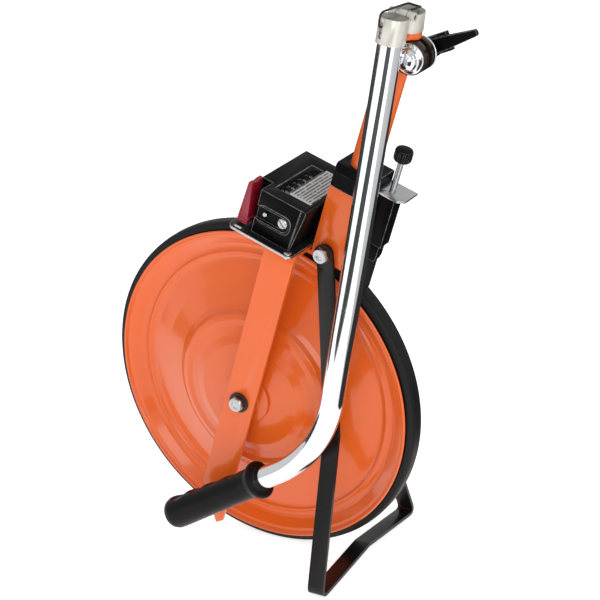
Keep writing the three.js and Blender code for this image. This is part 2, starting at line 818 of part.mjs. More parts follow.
// Figure drums on their shaft, the carry pinions and the input pulley
const shaftZ = caseLow + drums.rise;
const cheek = counterHalf - counter.wall - seat;
const shaftNear = recessFloor + recess.backing + seat;
function alongShaft(mesh, drop = 0) {
  mesh.position.set(-drums.rear, 0, shaftZ - drop);
  return mesh;
}
frameGroup.add(alongShaft(piece("counter_shaft", barY(drums.shaft, shaftNear, cheek), "steel")));
for (let i = 0; i < drumCount; i += 1) {
  const near = -drums.near + i * drums.pitch;
  const drum = turnedY(
    [
      [drums.bore, near],
      [drums.radius, near],
      [drums.radius, near + drums.width],
      [drums.bore, near + drums.width],
      [drums.bore, near],
    ],
    tubeFacets,
  );
  frameGroup.add(alongShaft(piece("number_drum_" + (i + 1), drum, "plastic")));
}
const pinions = Array.from({ length: drumCount - 1 }, (_, k) => {
  const middle = -drums.near + (k + 1) * drums.pitch - (drums.pitch - drums.width) * halfShare;
  const reach = carry.pinionWidth * halfShare;
  return barY(carry.pinion, middle - reach, middle + reach, 0, 0, pinionFacets);
});
frameGroup.add(
  alongShaft(
    piece("carry_pinions", joined(barY(carry.rod, shaftNear, cheek), ...pinions), "steel"),
    carry.drop,
  ),
);
frameGroup.add(alongShaft(piece("counter_pulley", pulleyY(drums.bore, pulleyIn), "plastic")));

// Drive belt round both pulleys
const beltInner = pulley.groove + seat;
const beltOuter = beltInner + belt.thick;
const beltLoop = rounded(0, 0, beltOuter, -drums.rear, shaftZ, beltOuter);
const beltHole = rounded(0, 0, beltInner, -drums.rear, shaftZ, beltInner);
frameGroup.add(
  piece(
    "drive_belt",
    cut(
      slabY(beltLoop, beltMiddle - beltHalf, beltMiddle + beltHalf),
      slabY(beltHole, beltMiddle - beltHalf - overrun, beltMiddle + beltHalf + overrun),
    ),
    "rubber",
  ),
);

// Cover screw and pin in the side recess
const coverScrewSolid = cut(
  barY(coverScrew.radius, -coverScrew.thick, 0, 0, 0, tubeFacets),
  block(
    -coverScrew.radius - overrun,
    coverScrew.radius + overrun,
    -coverScrew.thick - overrun,
    -coverScrew.thick + coverScrew.slotDepth,
    -coverScrew.slotWidth * halfShare,
    coverScrew.slotWidth * halfShare,
  ),
);
const coverScrewMesh = piece("cover_screw", coverScrewSolid, "zinc");
coverScrewMesh.position.set(-recess.front, recessFloor - seat, recessZ);
const coverPinMesh = piece("cover_pin", barY(coverPin.radius, -coverPin.thick, 0), "zinc");
coverPinMesh.position.set(-recess.rear, recessFloor - seat, recessZ);
frameGroup.add(coverScrewMesh, coverPinMesh);

// Reset lever in the corner notch, and its pin
const leverLow = plateTop + resetLever.low;
const leverTop = plateTop + resetLever.top;
const leverMiddle = -(leverNear + resetLever.far) * halfShare;
const leverBody = slabY(
  outline([
    [-resetLever.rearLow, leverLow],
    [-resetLever.frontLow, leverLow],
    [-resetLever.frontTop, leverTop],
    [-resetLever.rearTop, leverTop],
  ]),
  -leverNear,
  -resetLever.far,
);
const leverDip = block(
  -resetLever.rearLow - overrun,
  -resetLever.frontLow,
  -leverNear + resetLever.dip,
  leverMiddle - resetLever.dip,
  leverTop - resetLever.dip * halfShare,
  leverTop + overrun,
);
frameGroup.add(
  piece(
    "reset_lever",
    cut(
      leverBody,
      leverDip,
      barY(
        resetLever.pinRadius + slip,
        -leverNear - overrun,
        -resetLever.far + overrun,
        -resetLever.pivotRear,
        leverZ,
      ),
    ),
    "red",
  ),
);

const leverPinMesh = piece(
  "lever_pin",
  barY(resetLever.pinRadius, -leverNear + seat, -resetLever.far + counter.wall * halfShare),
  "steel",
);
leverPinMesh.position.set(-resetLever.pivotRear, 0, leverZ);
frameGroup.add(leverPinMesh);

// Stem channel over the fork's foot, drilled for the kickstand's bolt
const channelInner = channel.halfWidth - channel.wall;
const standBoltX = channel.rear + stand.boltFront;
const standBoltZ = channel.low + stand.boltRise;
const lean = frameLeanDegrees * turn;
const standForward = standBoltX * Math.cos(lean) + standBoltZ * Math.sin(lean);
const standHeight = tyre.radius + standBoltZ * Math.cos(lean) - standBoltX * Math.sin(lean);
frameGroup.add(
  piece(
    "stem_channel",
    cut(
      block(channel.rear, channel.front, -channel.halfWidth, channel.halfWidth, channel.low, channel.top),
      block(
        channel.rear + channel.wall,
        channel.front - channel.wall,
        -channelInner,
        channelInner,
        channel.low - overrun,
        channel.top - channel.wall,
      ),
      block(
        channel.rear - overrun,
        channel.rear + channel.wall + overrun,
        -channelInner,
        channelInner,
        channel.low - overrun,
        forkTop + seat,
      ),
      barZ(
        stem.radius + slip,
        channel.top - channel.wall - overrun,
        channel.top + overrun,
        stem.centre,
        0,
        tubeFacets,
      ),
      barY(
        standBolt.radius + slip,
        -channel.halfWidth - overrun,
        channel.halfWidth + overrun,
        standBoltX,
        standBoltZ,
      ),
    ),
    "orange",
  ),
);

// Collar at the channel's top: a bevelled cap, open below
const collarLow = channel.top + seat;
const collarTop = collarLow + collar.height;
function cappedBlock(inset, low, high) {
  const near = collar.halfWidth - inset;
  const profile = slabX(
    outline([
      [-near, low],
      [near, low],
      [near, high - collar.bevel],
      [near - collar.bevel * easedShare, high - collar.bevel * easedShare],
      [near - collar.bevel, high],
      [-near + collar.bevel, high],
      [-near + collar.bevel * easedShare, high - collar.bevel * easedShare],
      [-near, high - collar.bevel],
    ]),
    collar.rear + inset,
    collar.front - inset,
  );
  const plan = slabZ(
    roundedRectangle(collar.rear + inset, collar.front - inset, -near, near, collar.bevel - inset),
    low - overrun,
    high + overrun,
  );
  return profile.intersect(plan);
}
frameGroup.add(
  piece(
    "stem_collar",
    cut(
      cappedBlock(0, collarLow, collarTop),
      cappedBlock(collar.skin, collarLow - overrun, collarTop - collar.skin),
      barZ(stem.radius + slip, collarLow - overrun, collarTop + overrun, stem.centre, 0, tubeFacets),
    ),
    "plastic",
  ),
);
frameGroup.add(
  piece(
    "stem_tube",
    cut(
      barZ(stem.radius, stem.low, stem.top, stem.centre, 0, tubeFacets),
      barZ(stem.radius - stem.wall, stem.low - overrun, stem.top + overrun, stem.centre, 0, tubeFacets),
    ),
    "orange",
  ),
);

// Kickstand: one strap bent into two legs and a raised foot, both ends rounded at the bolt
standGroup.position.set(standForward, 0, standHeight);
const legMiddle = stand.legIn + stand.thick * halfShare;
function standLine(lift) {
  const footZ = lift - standHeight;
  return [
    [-legMiddle, 0],
    [-legMiddle, -stand.straight],
    [-stand.kneeOut, stand.kneeHeight - standHeight],
    [-stand.footOut, footZ],
    [0, footZ + stand.apex],
    [stand.footOut, footZ],
    [stand.kneeOut, stand.kneeHeight - standHeight],
    [legMiddle, -stand.straight],
    [legMiddle, 0],
  ];
}
const standEdges = (lift) => strapEdges(easedLine(standLine(lift), stand.bend), stand.thick);
const standSink = Math.min(...standEdges(0).map(([, z]) => z)) + standHeight;
const standHalf = stand.width * halfShare;
const standEye = (y0, y1) => barY(standHalf, y0, y1, 0, 0, tubeFacets);
standGroup.add(
  piece(
    "kickstand",
    cut(
      joined(
        slabX(outline(standEdges(-standSink)), -standHalf, standHalf),
        standEye(-stand.legIn - stand.thick, -stand.legIn),
        standEye(stand.legIn, stand.legIn + stand.thick),
      ),
      barY(standBolt.radius + slip, -stand.footOut, stand.footOut),
    ),
    "blackPaint",
  ),
);

// Kickstand bolt, washer and nut
const standWasherIn = stand.legIn + stand.thick + seat;
const standWasherOut = standWasherIn + standBolt.washerThick;
const standHeadIn = standWasherOut + seat;
const standNutOut = standWasherIn + standBolt.nutThick;
function onStandBolt(mesh) {
  mesh.position.set(standBoltX, 0, standBoltZ);
  return mesh;
}
frameGroup.add(
  onStandBolt(
    piece(
      "stand_bolt",
      joined(
        hexY(standBolt.headFlats, -standHeadIn - standBolt.headThick, -standHeadIn),
        barY(standBolt.radius, -standHeadIn - seat, standNutOut + standBolt.stickOut),
      ),
      "zinc",
    ),
  ),
  onStandBolt(
    piece(
      "stand_washer",
      ringY(standBolt.washerRadius, standBolt.radius + slip, -standWasherOut, -standWasherIn, smallFacets),
      "darkSteel",
    ),
  ),
  onStandBolt(
    piece(
      "stand_nut",
      cut(
        hexY(standBolt.headFlats, standWasherIn, standNutOut),
        barY(standBolt.radius + slip, standWasherIn - overrun, standNutOut + overrun),
      ),
      "zinc",
    ),
  ),
);

// Brake: bracket, guide housing, rod with its knob, shoe and pad, and the spring that lifts them
const bracketLow = brake.bracketRise - brake.bracketThick * halfShare;
const bracketHigh = brake.bracketRise + brake.bracketThick * halfShare;
const bracketRear = collar.front + seat;
const rodHole = (low, high) => barZ(brake.rodRadius + slip, low, high, brake.forward);
frameGroup.add(
  piece(
    "brake_bracket",
    cut(
      joined(
        slabZ(
          outline([
            [bracketRear, -brake.bracketNear],
            [brake.bracketFront - brake.bracketCut, -brake.bracketNear],
            [brake.bracketFront, -brake.bracketNear + brake.bracketCut],
            [brake.bracketFront, brake.bracketFar],
            [bracketRear, brake.bracketFar],
          ]),
          bracketLow,
          bracketHigh,
        ),
        block(
          bracketRear,
          bracketRear + brake.bracketThick,
          -brake.flangeHalf,
          brake.flangeHalf,
          brake.flangeLow,
          bracketHigh,
        ),
      ),
      rodHole(bracketLow - overrun, bracketHigh + overrun),
    ),
    "zinc",
  ),
);
const housingTop = bracketLow - seat;
const shelfLow = brake.shoeTop + brake.shoeLap + seat;
const shelfHigh = shelfLow + brake.housingWall;
const housingRoom = (low, high) =>
  block(
    bracketRear - overrun,
    brake.housingFront - brake.housingWall,
    -brake.housingHalf + brake.housingWall,
    brake.housingHalf - brake.housingWall,
    low,
    high,
  );
frameGroup.add(
  piece(
    "brake_housing",
    cut(
      block(
        bracketRear,
        brake.housingFront,
        -brake.housingHalf,
        brake.housingHalf,
        brake.housingLow,
        housingTop,
      ),
      housingRoom(brake.housingLow - overrun, shelfLow),
      housingRoom(shelfHigh, housingTop - brake.housingWall),
      block(
        bracketRear - overrun,
        bracketRear + brake.bracketThick + seat,
        -brake.flangeHalf - seat,
        brake.flangeHalf + seat,
        brake.housingLow - overrun,
        housingTop + overrun,
      ),
      rodHole(shelfLow - overrun, housingTop + overrun),
    ),
    "plastic",
  ),
);
const rodLow = brake.shoeTop - brake.rodSocket;
const rodCollarHigh = housingTop - brake.housingWall - brake.collarDown;
frameGroup.add(
  piece(
    "brake_rod",
    joined(
      barZ(brake.rodRadius, rodLow, brake.knobLow + brake.rodSocket, brake.forward),
      barZ(
        brake.collarRadius,
        rodCollarHigh - brake.collarThick,
        rodCollarHigh,
        brake.forward,
      ),
    ),
    "zinc",
  ),
);
const knobFlutes = Array.from({ length: fluteCount }, (_, k) => {
  const spin = (k / fluteCount) * Math.PI * 2;
  return barZ(
    brake.fluteRadius,
    brake.knobLow - overrun,
    brake.knobHigh + overrun,
    (brake.knobRadius + brake.fluteRadius * halfShare) * Math.cos(spin),
    (brake.knobRadius + brake.fluteRadius * halfShare) * Math.sin(spin),
    pinionFacets,
  );
});
const knobMesh = piece(
  "brake_knob",
  cut(
    turnedZ(
      [
        [0, brake.knobLow],
        [brake.knobRadius, brake.knobLow],
        [brake.knobRadius, brake.knobHigh - brake.knobEdge],
        [brake.knobRadius - brake.knobEdge * easedShare, brake.knobHigh - brake.knobEdge * easedShare],
        [brake.knobRadius - brake.knobEdge, brake.knobHigh],
        [0, brake.knobHigh],
      ],
      tubeFacets,
    ),
    barZ(brake.rodRadius + slip, brake.knobLow - overrun, brake.knobLow + brake.rodSocket + seat),
    ...knobFlutes,
  ),
  "plastic",
);
knobMesh.position.set(brake.forward, 0, 0);
frameGroup.add(knobMesh);
const shoeHalf = brake.housingHalf - brake.housingWall - brake.shoeInset;
const shoeRear = bracketRear + brake.bracketThick + brake.shoeInset;
const shoeFront = brake.housingFront - brake.housingWall - brake.shoeInset;
const padRear = brake.forward - brake.padHalf;
const padFront = brake.forward + brake.padHalf;
frameGroup.add(
  piece(
    "brake_shoe",
    cut(
      slabY(
        outline([
          [shoeRear, brake.shoeTop + brake.shoeLap],
          [shoeRear, brake.shoeFoot + brake.shoeCut],
          [padRear - brake.shoeInset, brake.shoeFoot],
          [padFront + brake.shoeInset, brake.shoeFoot],
          [shoeFront, brake.shoeFoot + brake.shoeCut],
          [shoeFront, brake.shoeTop + brake.shoeLap],
        ]),
        -shoeHalf,
        shoeHalf,
      ),
      rodHole(rodLow - seat, brake.shoeTop + brake.shoeLap + overrun),
    ),
    "plastic",
  ),
);
frameGroup.add(
  piece(
    "brake_pad",
    cut(
      block(
        padRear,
        padFront,
        -brake.padDepth,
        brake.padDepth,
        tyre.radius * halfShare,
        brake.shoeFoot - seat,
      ),
      barY(
        tyre.radius + brake.padGap,
        -brake.padDepth - overrun,
        brake.padDepth + overrun,
        0,
        0,
        brakeFacets,
      ),
    ),
    "rubber",
  ),
);
const springLow = shelfHigh + brake.springWire + seat;
const springHigh = rodCollarHigh - brake.collarThick - brake.springWire - seat;
const springSteps = coilTurns * coilStepsPerTurn;
const springRoute = Array.from({ length: springSteps + 1 }, (_, k) => {
  const spin = (k / coilStepsPerTurn) * Math.PI * 2;
  return new THREE.Vector3(
    brake.forward + Math.cos(spin) * brake.springRadius,
    Math.sin(spin) * brake.springRadius,
    springLow + ((springHigh - springLow) * k) / springSteps,
  );
});
frameGroup.add(
  piece("brake_spring", wireAlong(springRoute, brake.springWire, springSteps, coilSides), "steel"),
);

// Tilt clamp: the lower knuckle with two cheeks
const knuckleBody = cut(
  slabY(
    rounded(
      clamp.neckForward,
      clamp.neckRise,
      clamp.neckRadius,
      clamp.forward,
      clamp.rise,
      clamp.bodyRadius,
    ),
    -clamp.nearFace,
    clamp.farFace,
  ),
  block(
    0,
    clamp.forward + clamp.bodyRadius + overrun,
    -clamp.nearFace - overrun,
    clamp.farFace + overrun,
    stem.low,
    stem.top + seat,
  ),
);
const tongueWay = clamp.tongue + seat;
frameGroup.add(
  piece(
    "lower_knuckle",
    cut(
      joined(
        knuckleBody,
        barZ(clamp.plugRadius, clamp.plugLow, stem.top + clamp.neckSink, stem.centre, 0, tubeFacets),
      ),
      barY(
        clamp.tongueRadius + clamp.tongueGap,
        -tongueWay,
        tongueWay,
        clamp.forward,
        clamp.rise,
        tubeFacets,
      ),
      block(
        stem.centre - clamp.bodyRadius,
        clamp.forward + clamp.bodyRadius + overrun,
        -tongueWay,
        tongueWay,
        clamp.rise - clamp.tongueDrop,
        clamp.rise + clamp.bodyRadius + overrun,
      ),
      barY(
        clamp.boltRadius + slip,
        -clamp.nearFace - overrun,
        clamp.farFace + overrun,
        clamp.forward,
        clamp.rise,
      ),
    ),
    "darkSteel",
  ),
);

// Upper knuckle: a tongue between the cheeks and a plug up into the stub and the hinge
tiltGroup.position.set(clamp.forward, 0, clamp.rise);
tiltGroup.rotation.y = (hingeLeanDegrees - frameLeanDegrees) * turn;
const bodyWay = clamp.bodyRadius + clamp.tongueGap;
const bodyClear = barY(bodyWay, -stub.radius - overrun, stub.radius + overrun, 0, 0, clampFacets);
tiltGroup.add(
  piece(
    "upper_knuckle",
    cut(
      joined(
        barZ(stub.plug, stub.low, stub.plugHigh, -stub.offset, 0, tubeFacets).subtract(bodyClear),
        slabY(
          rounded(-stub.offset, bodyWay, stub.plug * halfShare, 0, 0, clamp.tongueRadius),
          -clamp.tongue,
          clamp.tongue,
        ),
      ),
      barY(clamp.boltRadius + slip, -clamp.tongue - overrun, clamp.tongue + overrun),
    ),
    "darkSteel",
  ),
);

// Stub tube, shaped round the knuckle and slit at the rear
const stubTop = hinge.rise - hinge.faceGap - hinge.farHeight - seat;
tiltGroup.add(
  piece(
    "stub_tube",
    cut(
      barZ(stub.radius, stub.low, stubTop, -stub.offset, 0, tubeFacets),
      barZ(stub.radius - stub.wall, stub.low - overrun, stubTop + overrun, -stub.offset, 0, tubeFacets),
      bodyClear,
      block(
        -stub.offset - stub.radius - overrun,
        -stub.offset,
        -stub.slit * halfShare,
        stub.slit * halfShare,
        stub.low - overrun,
        stubTop - stub.slit,
      ),
    ),
    "orange",
  ),
);

// Clamp bolt with its cross pin, flanged cap nut, chrome ring and cam seat
const capNear = clamp.nearFace + seat;
const capFlange = capNear + clamp.flangeThick;
const ringIn = clamp.farFace + seat;
const ringOut = ringIn + clamp.ringThick;
const seatIn = ringOut + seat;
const seatOut = seatIn + clamp.seatThick;
const camCentre = seatOut - clamp.seatDip + camGap + clamp.camRadius;
const camTurn = -camLeverDegrees * turn;
camGroup.position.set(clamp.forward, camCentre, clamp.rise);
camGroup.rotation.y = camTurn;
const onClamp = (mesh) => {
  mesh.position.set(clamp.forward, 0, clamp.rise);
  return mesh;
};
camGroup.add(
  piece(
    "clamp_bolt",
    joined(
      barY(clamp.boltRadius, -camCentre - capFlange - clamp.domeTop, 0),
      barZ(clamp.pinRadius, -clamp.camHalf + seat, clamp.camHalf - seat),
      barZ(clamp.boltRadius, -clamp.boltRadius, clamp.boltRadius),
    ),
    "zinc",
  ),
);
frameGroup.add(
  onClamp(
    piece(
      "cap_nut",
      cut(
        turnedY(
          [
            [0, -capNear],
            [clamp.flangeRadius, -capNear],
            [clamp.flangeRadius, -capFlange],
            [clamp.domeRadius, -capFlange],
            [clamp.domeRadius, -capFlange - clamp.domeThick * domeShares.side],
            [clamp.domeRadius * domeShares.shoulder, -capFlange - clamp.domeThick * domeShares.rise],
            [clamp.domeRadius * domeShares.crown, -capFlange - clamp.domeThick],
            [0, -capFlange - clamp.domeThick],
          ].reverse(),
          tubeFacets,
        ),
        barY(clamp.boltRadius + slip, -capFlange - clamp.domeTop - seat, -capNear + overrun),
      ),
      "chrome",
    ),
  ),
  onClamp(
    piece(
      "clamp_ring",
      ringY(clamp.ringRadius, clamp.boltRadius + slip, ringIn, ringOut, tubeFacets),
      "chrome",
    ),
  ),
);
camGroup.add(
  piece(
    "cam_seat",
    cut(
      barY(clamp.seatRadius, seatIn - camCentre, seatOut - camCentre, 0, 0, tubeFacets),
      barZ(
        clamp.camRadius + camGap,
        -clamp.seatRadius - overrun,
        clamp.seatRadius + overrun,
        0,
        0,
        tubeFacets,
      ),
      barY(clamp.boltRadius + slip, seatIn - camCentre - overrun, seatOut - camCentre + overrun),
    ),
    "plastic",
  ),
);
const boltWay = clamp.boltRadius + slip;
const armSolid = slabY(
  outline([
    [0, -clamp.armRoot * halfShare],
    [clamp.armLength, -clamp.armTip * halfShare],
    [clamp.armLength, clamp.armTip * halfShare],
    [0, clamp.armRoot * halfShare],
  ]),
  -clamp.armThick,
  clamp.armThick,
);
const armTaper = slabZ(
  outline([
    [0, -clamp.armThick * halfShare],
    [clamp.armLength + overrun, -clamp.armTipThick * halfShare],
    [clamp.armLength + overrun, clamp.armTipThick * halfShare],
    [0, clamp.armThick * halfShare],
  ]),
  -clamp.armRoot,
  clamp.armRoot,
);
camGroup.add(
  piece(
    "cam_lever",
    cut(
      joined(
        barZ(clamp.camRadius, -clamp.camHalf, clamp.camHalf, 0, 0, tubeFacets),
        block(0, clamp.rootLength, clamp.rootThick, clamp.camRadius, -clamp.camHalf, clamp.camHalf),
        armSolid.intersect(armTaper),
      ),
      block(
        -clamp.camRadius - overrun,
        boltWay,
        -clamp.camRadius - overrun,
        boltWay,
        -boltWay,
        boltWay,
      ),
      barZ(clamp.pinRadius + slip, -clamp.camHalf - overrun, clamp.camHalf + overrun),
    ),
    "plastic",
  ),
);

// Hinge halves side by side at the fold axis, which runs along X
handleGroup.position.set(-stub.offset, -hinge.gap - hinge.halfLength, hinge.rise);
handleGroup.rotation.x = -splayDegrees * turn;
const hingeSpan = hinge.gap + hinge.halfLength * 2;
const outerKnuckles = (radius, grow) =>
  joined(
    barX(radius, -hinge.halfDepth - grow, -hinge.knuckleHalf - slip * halfShare + grow),
    barX(radius, hinge.knuckleHalf + slip * halfShare - grow, hinge.halfDepth + grow),
  );
const innerKnuckle = (radius, grow) => barX(radius, -hinge.knuckleHalf - grow, hinge.knuckleHalf + grow);
const pinBore = barX(hinge.pin + slip, -hinge.halfDepth - overrun, hinge.halfDepth + overrun);
const castBlock = (y0, y1, height) =>
  slabZ(
    roundedRectangle(-hinge.halfDepth, hinge.halfDepth, y0, y1, hinge.corner),
    -hinge.faceGap - height,
    -hinge.faceGap,
  );
const knuckleWay = hinge.knuckle + slip;
const plugFloor = stub.plugHigh - hinge.rise + seat;
const farHalf = cut(
  joined(castBlock(hinge.gap, hingeSpan, hinge.farHeight), outerKnuckles(hinge.knuckle, 0)),
  innerKnuckle(knuckleWay, slip),
  pinBore,
  barZ(stub.plug + slip, -hinge.farHeight - overrun, plugFloor, 0, hinge.gap + hinge.halfLength, tubeFacets),
);
const farHalfMesh = piece("far_hinge_half", farHalf, "cream");
farHalfMesh.position.copy(handleGroup.position);
const hingePinMesh = piece("hinge_pin", barX(hinge.pin, -hinge.halfDepth, hinge.halfDepth), "steel");
hingePinMesh.position.copy(handleGroup.position);
tiltGroup.add(farHalfMesh, hingePinMesh);
const tubeAxis = -hinge.gap - hinge.halfLength;
const socketTop = -hinge.faceGap - hinge.nearHeight + tube.socket;
const wireWay = latch.wire + slip;
const nearHalf = cut(
  joined(castBlock(-hingeSpan, -hinge.gap, hinge.nearHeight), innerKnuckle(hinge.knuckle, -slip)),
  outerKnuckles(knuckleWay, slip),
  pinBore,
  barZ(tube.radius + slip, -hinge.nearHeight - overrun, socketTop, 0, tubeAxis, tubeFacets),
  block(
    hinge.slotSide - hinge.slotWidth * halfShare,
    hinge.slotSide + hinge.slotWidth * halfShare,
    -hingeSpan - overrun,
    -hingeSpan + hinge.slotDepth,
    -hinge.slotLow,
    -hinge.slotHigh,
  ),
);
handleGroup.add(piece("near_hinge_half", nearHalf, "cream"));

// Latch wire: out of the slot, over both halves to a curled far end, and part of the way back
const latchHigh = latch.over + latch.wire;
const latchRoute = [
  [latch.side, -latch.startIn, -latch.startDrop],
  [latch.side, -latch.outside, -latch.startDrop + wireWay],
  [latch.side, -latch.outside - wireWay, 0],
  [latch.side, -latch.outside + wireWay, latchHigh],
  [latch.side, 0, latchHigh],
  [latch.side, latch.farEnd, latchHigh],
  [latch.side + latch.curl * halfShare, latch.farEnd + latch.curl, latchHigh - wireWay],
  [latch.backSide - latch.curl * halfShare, latch.farEnd + latch.curl, latchHigh - wireWay],
  [latch.backSide, latch.farEnd, latchHigh],
  [latch.backSide, latch.backEnd, latchHigh],
].map(([x, y, z]) => new THREE.Vector3(x, y, z));
handleGroup.add(piece("latch_wire", wireAlong(latchRoute, latch.wire, wireSteps, wireSides), "darkSteel"));

// Handle tube: straight, one bend towards the rear, straight again inside the grip
const bendBack = tube.bend * Math.tan(gripBendDegrees * turn * halfShare);
const bendX = -tube.bend;
const bendZ = -tube.corner + bendBack;
function handleStations(radius, topExtra, endExtra) {
  const arc = Array.from({ length: bendSteps + 1 }, (_, k) => {
    const swung = (gripBendDegrees * turn * k) / bendSteps;
    return {
      x: bendX + tube.bend * Math.cos(swung),
      z: bendZ - tube.bend * Math.sin(swung),
      along: -Math.PI * halfShare - swung,
      radius,
    };
  });
  const bent = gripBendDegrees * turn;
  const reach = tube.reach + endExtra;
  return [
    { x: 0, z: socketTop - seat + topExtra, along: -Math.PI * halfShare, radius },
    ...arc,
    {
      x: -Math.sin(bent) * reach,
      z: -tube.corner - Math.cos(bent) * reach,
      along: -Math.PI * halfShare - bent,
      radius,
    },
  ];
}
const handleTube = piece(
  "handle_tube",
  cut(
    sweptXZ(handleStations(tube.radius, 0, 0), tubeFacets),
    sweptXZ(handleStations(tube.radius - tube.wall, overrun, overrun), tubeFacets),
  ),
  "chrome",
);
handleTube.position.y = tubeAxis;
handleGroup.add(handleTube);

// Grip with a flange, a rounded end and finger hollows on its inner side
const gripSolid = turnedZ(
  [
    [0, -grip.end],
    [grip.endRadius - grip.endRound, -grip.end],
    [grip.endRadius - grip.endRound * easedShare, -grip.end + grip.endRound * easedShare],
    [grip.endRadius, -grip.end + grip.endRound],
    [grip.radius, -grip.start - grip.neckDown],
    [grip.flange, -grip.start - grip.flangeThick],
    [grip.flange, -grip.start - grip.flangeThick * easedShare],
    [grip.flange - grip.flangeThick * easedShare, -grip.start],
    [0, -grip.start],
  ],
  tubeFacets,
);
const fingerHollows = Array.from({ length: fingerCount }, (_, k) =>
  barY(
    grip.fingerRadius,
    -grip.flange - overrun,
    grip.flange + overrun,
    -grip.radius - grip.fingerRadius + grip.fingerDepth,
    -grip.fingerFirst - grip.fingerPitch * (k + halfShare),
    clampFacets,
  ),
);
const gripMesh = piece(
  "grip",
  cut(
    gripSolid,
    barZ(tube.radius + slip, -grip.boreEnd, -grip.start + overrun, 0, 0, tubeFacets),
    ...fingerHollows,
  ),
  "plastic",
);
gripMesh.position.set(0, tubeAxis, -tube.corner);
gripMesh.rotation.y = gripBendDegrees * turn;
handleGroup.add(gripMesh);

// The origin is on the ground under the middle of the whole part
part.updateMatrixWorld(true);
const bounds = new THREE.Box3().setFromObject(part, true);
const middle = bounds.getCenter(new THREE.Vector3());
part.position.set(-middle.x, -middle.y, -bounds.min.z);

export default part;
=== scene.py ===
"""Looks of a folding distance-measuring wheel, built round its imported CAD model.

Pieces are modelled in millimetres in the frame of the assembly that holds them, and then set in
the part's frame in metres.
"""

from __future__ import annotations

import logging
import math
from dataclasses import dataclass
from enum import Enum
from typing import Any, ClassVar, Sequence

import bpy
from mathutils import Matrix, Vector


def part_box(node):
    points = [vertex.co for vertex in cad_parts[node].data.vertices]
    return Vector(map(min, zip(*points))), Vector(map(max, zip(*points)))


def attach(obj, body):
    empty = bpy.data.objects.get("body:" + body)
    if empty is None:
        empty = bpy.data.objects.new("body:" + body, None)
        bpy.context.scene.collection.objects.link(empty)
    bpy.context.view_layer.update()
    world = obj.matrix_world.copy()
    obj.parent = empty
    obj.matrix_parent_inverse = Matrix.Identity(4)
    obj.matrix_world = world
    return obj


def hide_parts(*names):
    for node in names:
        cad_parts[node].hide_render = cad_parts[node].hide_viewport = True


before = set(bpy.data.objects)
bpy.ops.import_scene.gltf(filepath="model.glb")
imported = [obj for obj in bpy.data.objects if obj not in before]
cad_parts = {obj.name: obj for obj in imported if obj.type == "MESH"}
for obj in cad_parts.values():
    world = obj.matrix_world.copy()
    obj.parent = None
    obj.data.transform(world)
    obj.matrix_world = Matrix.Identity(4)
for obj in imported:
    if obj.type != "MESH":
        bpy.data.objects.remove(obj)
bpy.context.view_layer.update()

logging.basicConfig(level=logging.INFO, format="%(message)s")
LOG = logging.getLogger("measuring_wheel")

MM = 0.001
Point = tuple[float, float]
Spot = tuple[float, float, float]


class Axis(Enum):
    """The direction that a turned or extruded shape runs along."""

    X = (1.0, 0.0, 0.0)
    Y = (0.0, 1.0, 0.0)
    Z = (0.0, 0.0, 1.0)


def turn(axis: str, degrees: float) -> Matrix:
    """A rotation about one axis.

    Args:
        axis: X, Y or Z.
        degrees: The angle, by the right-hand rule.

    Returns:
        The rotation as a 4 by 4 matrix.
    """
    return Matrix.Rotation(math.radians(degrees), 4, axis)


def shift(x: float, y: float, z: float) -> Matrix:
    """A translation in millimetres."""
    return Matrix.Translation(Vector((x, y, z)))


def linear(code: str) -> tuple[float, float, float, float]:
    """A screen colour as the linear colour that the shaders take.

    Args:
        code: Six hexadecimal digits.

    Returns:
        Red, green, blue and a full alpha.
    """
    parts = [int(code[i : i + 2], 16) / 255 for i in (0, 2, 4)]
    red, green, blue = (p / 12.92 if p <= 0.04045 else ((p + 0.055) / 1.055) ** 2.4 for p in parts)
    return (red, green, blue, 1.0)


# Places of the sub-assemblies


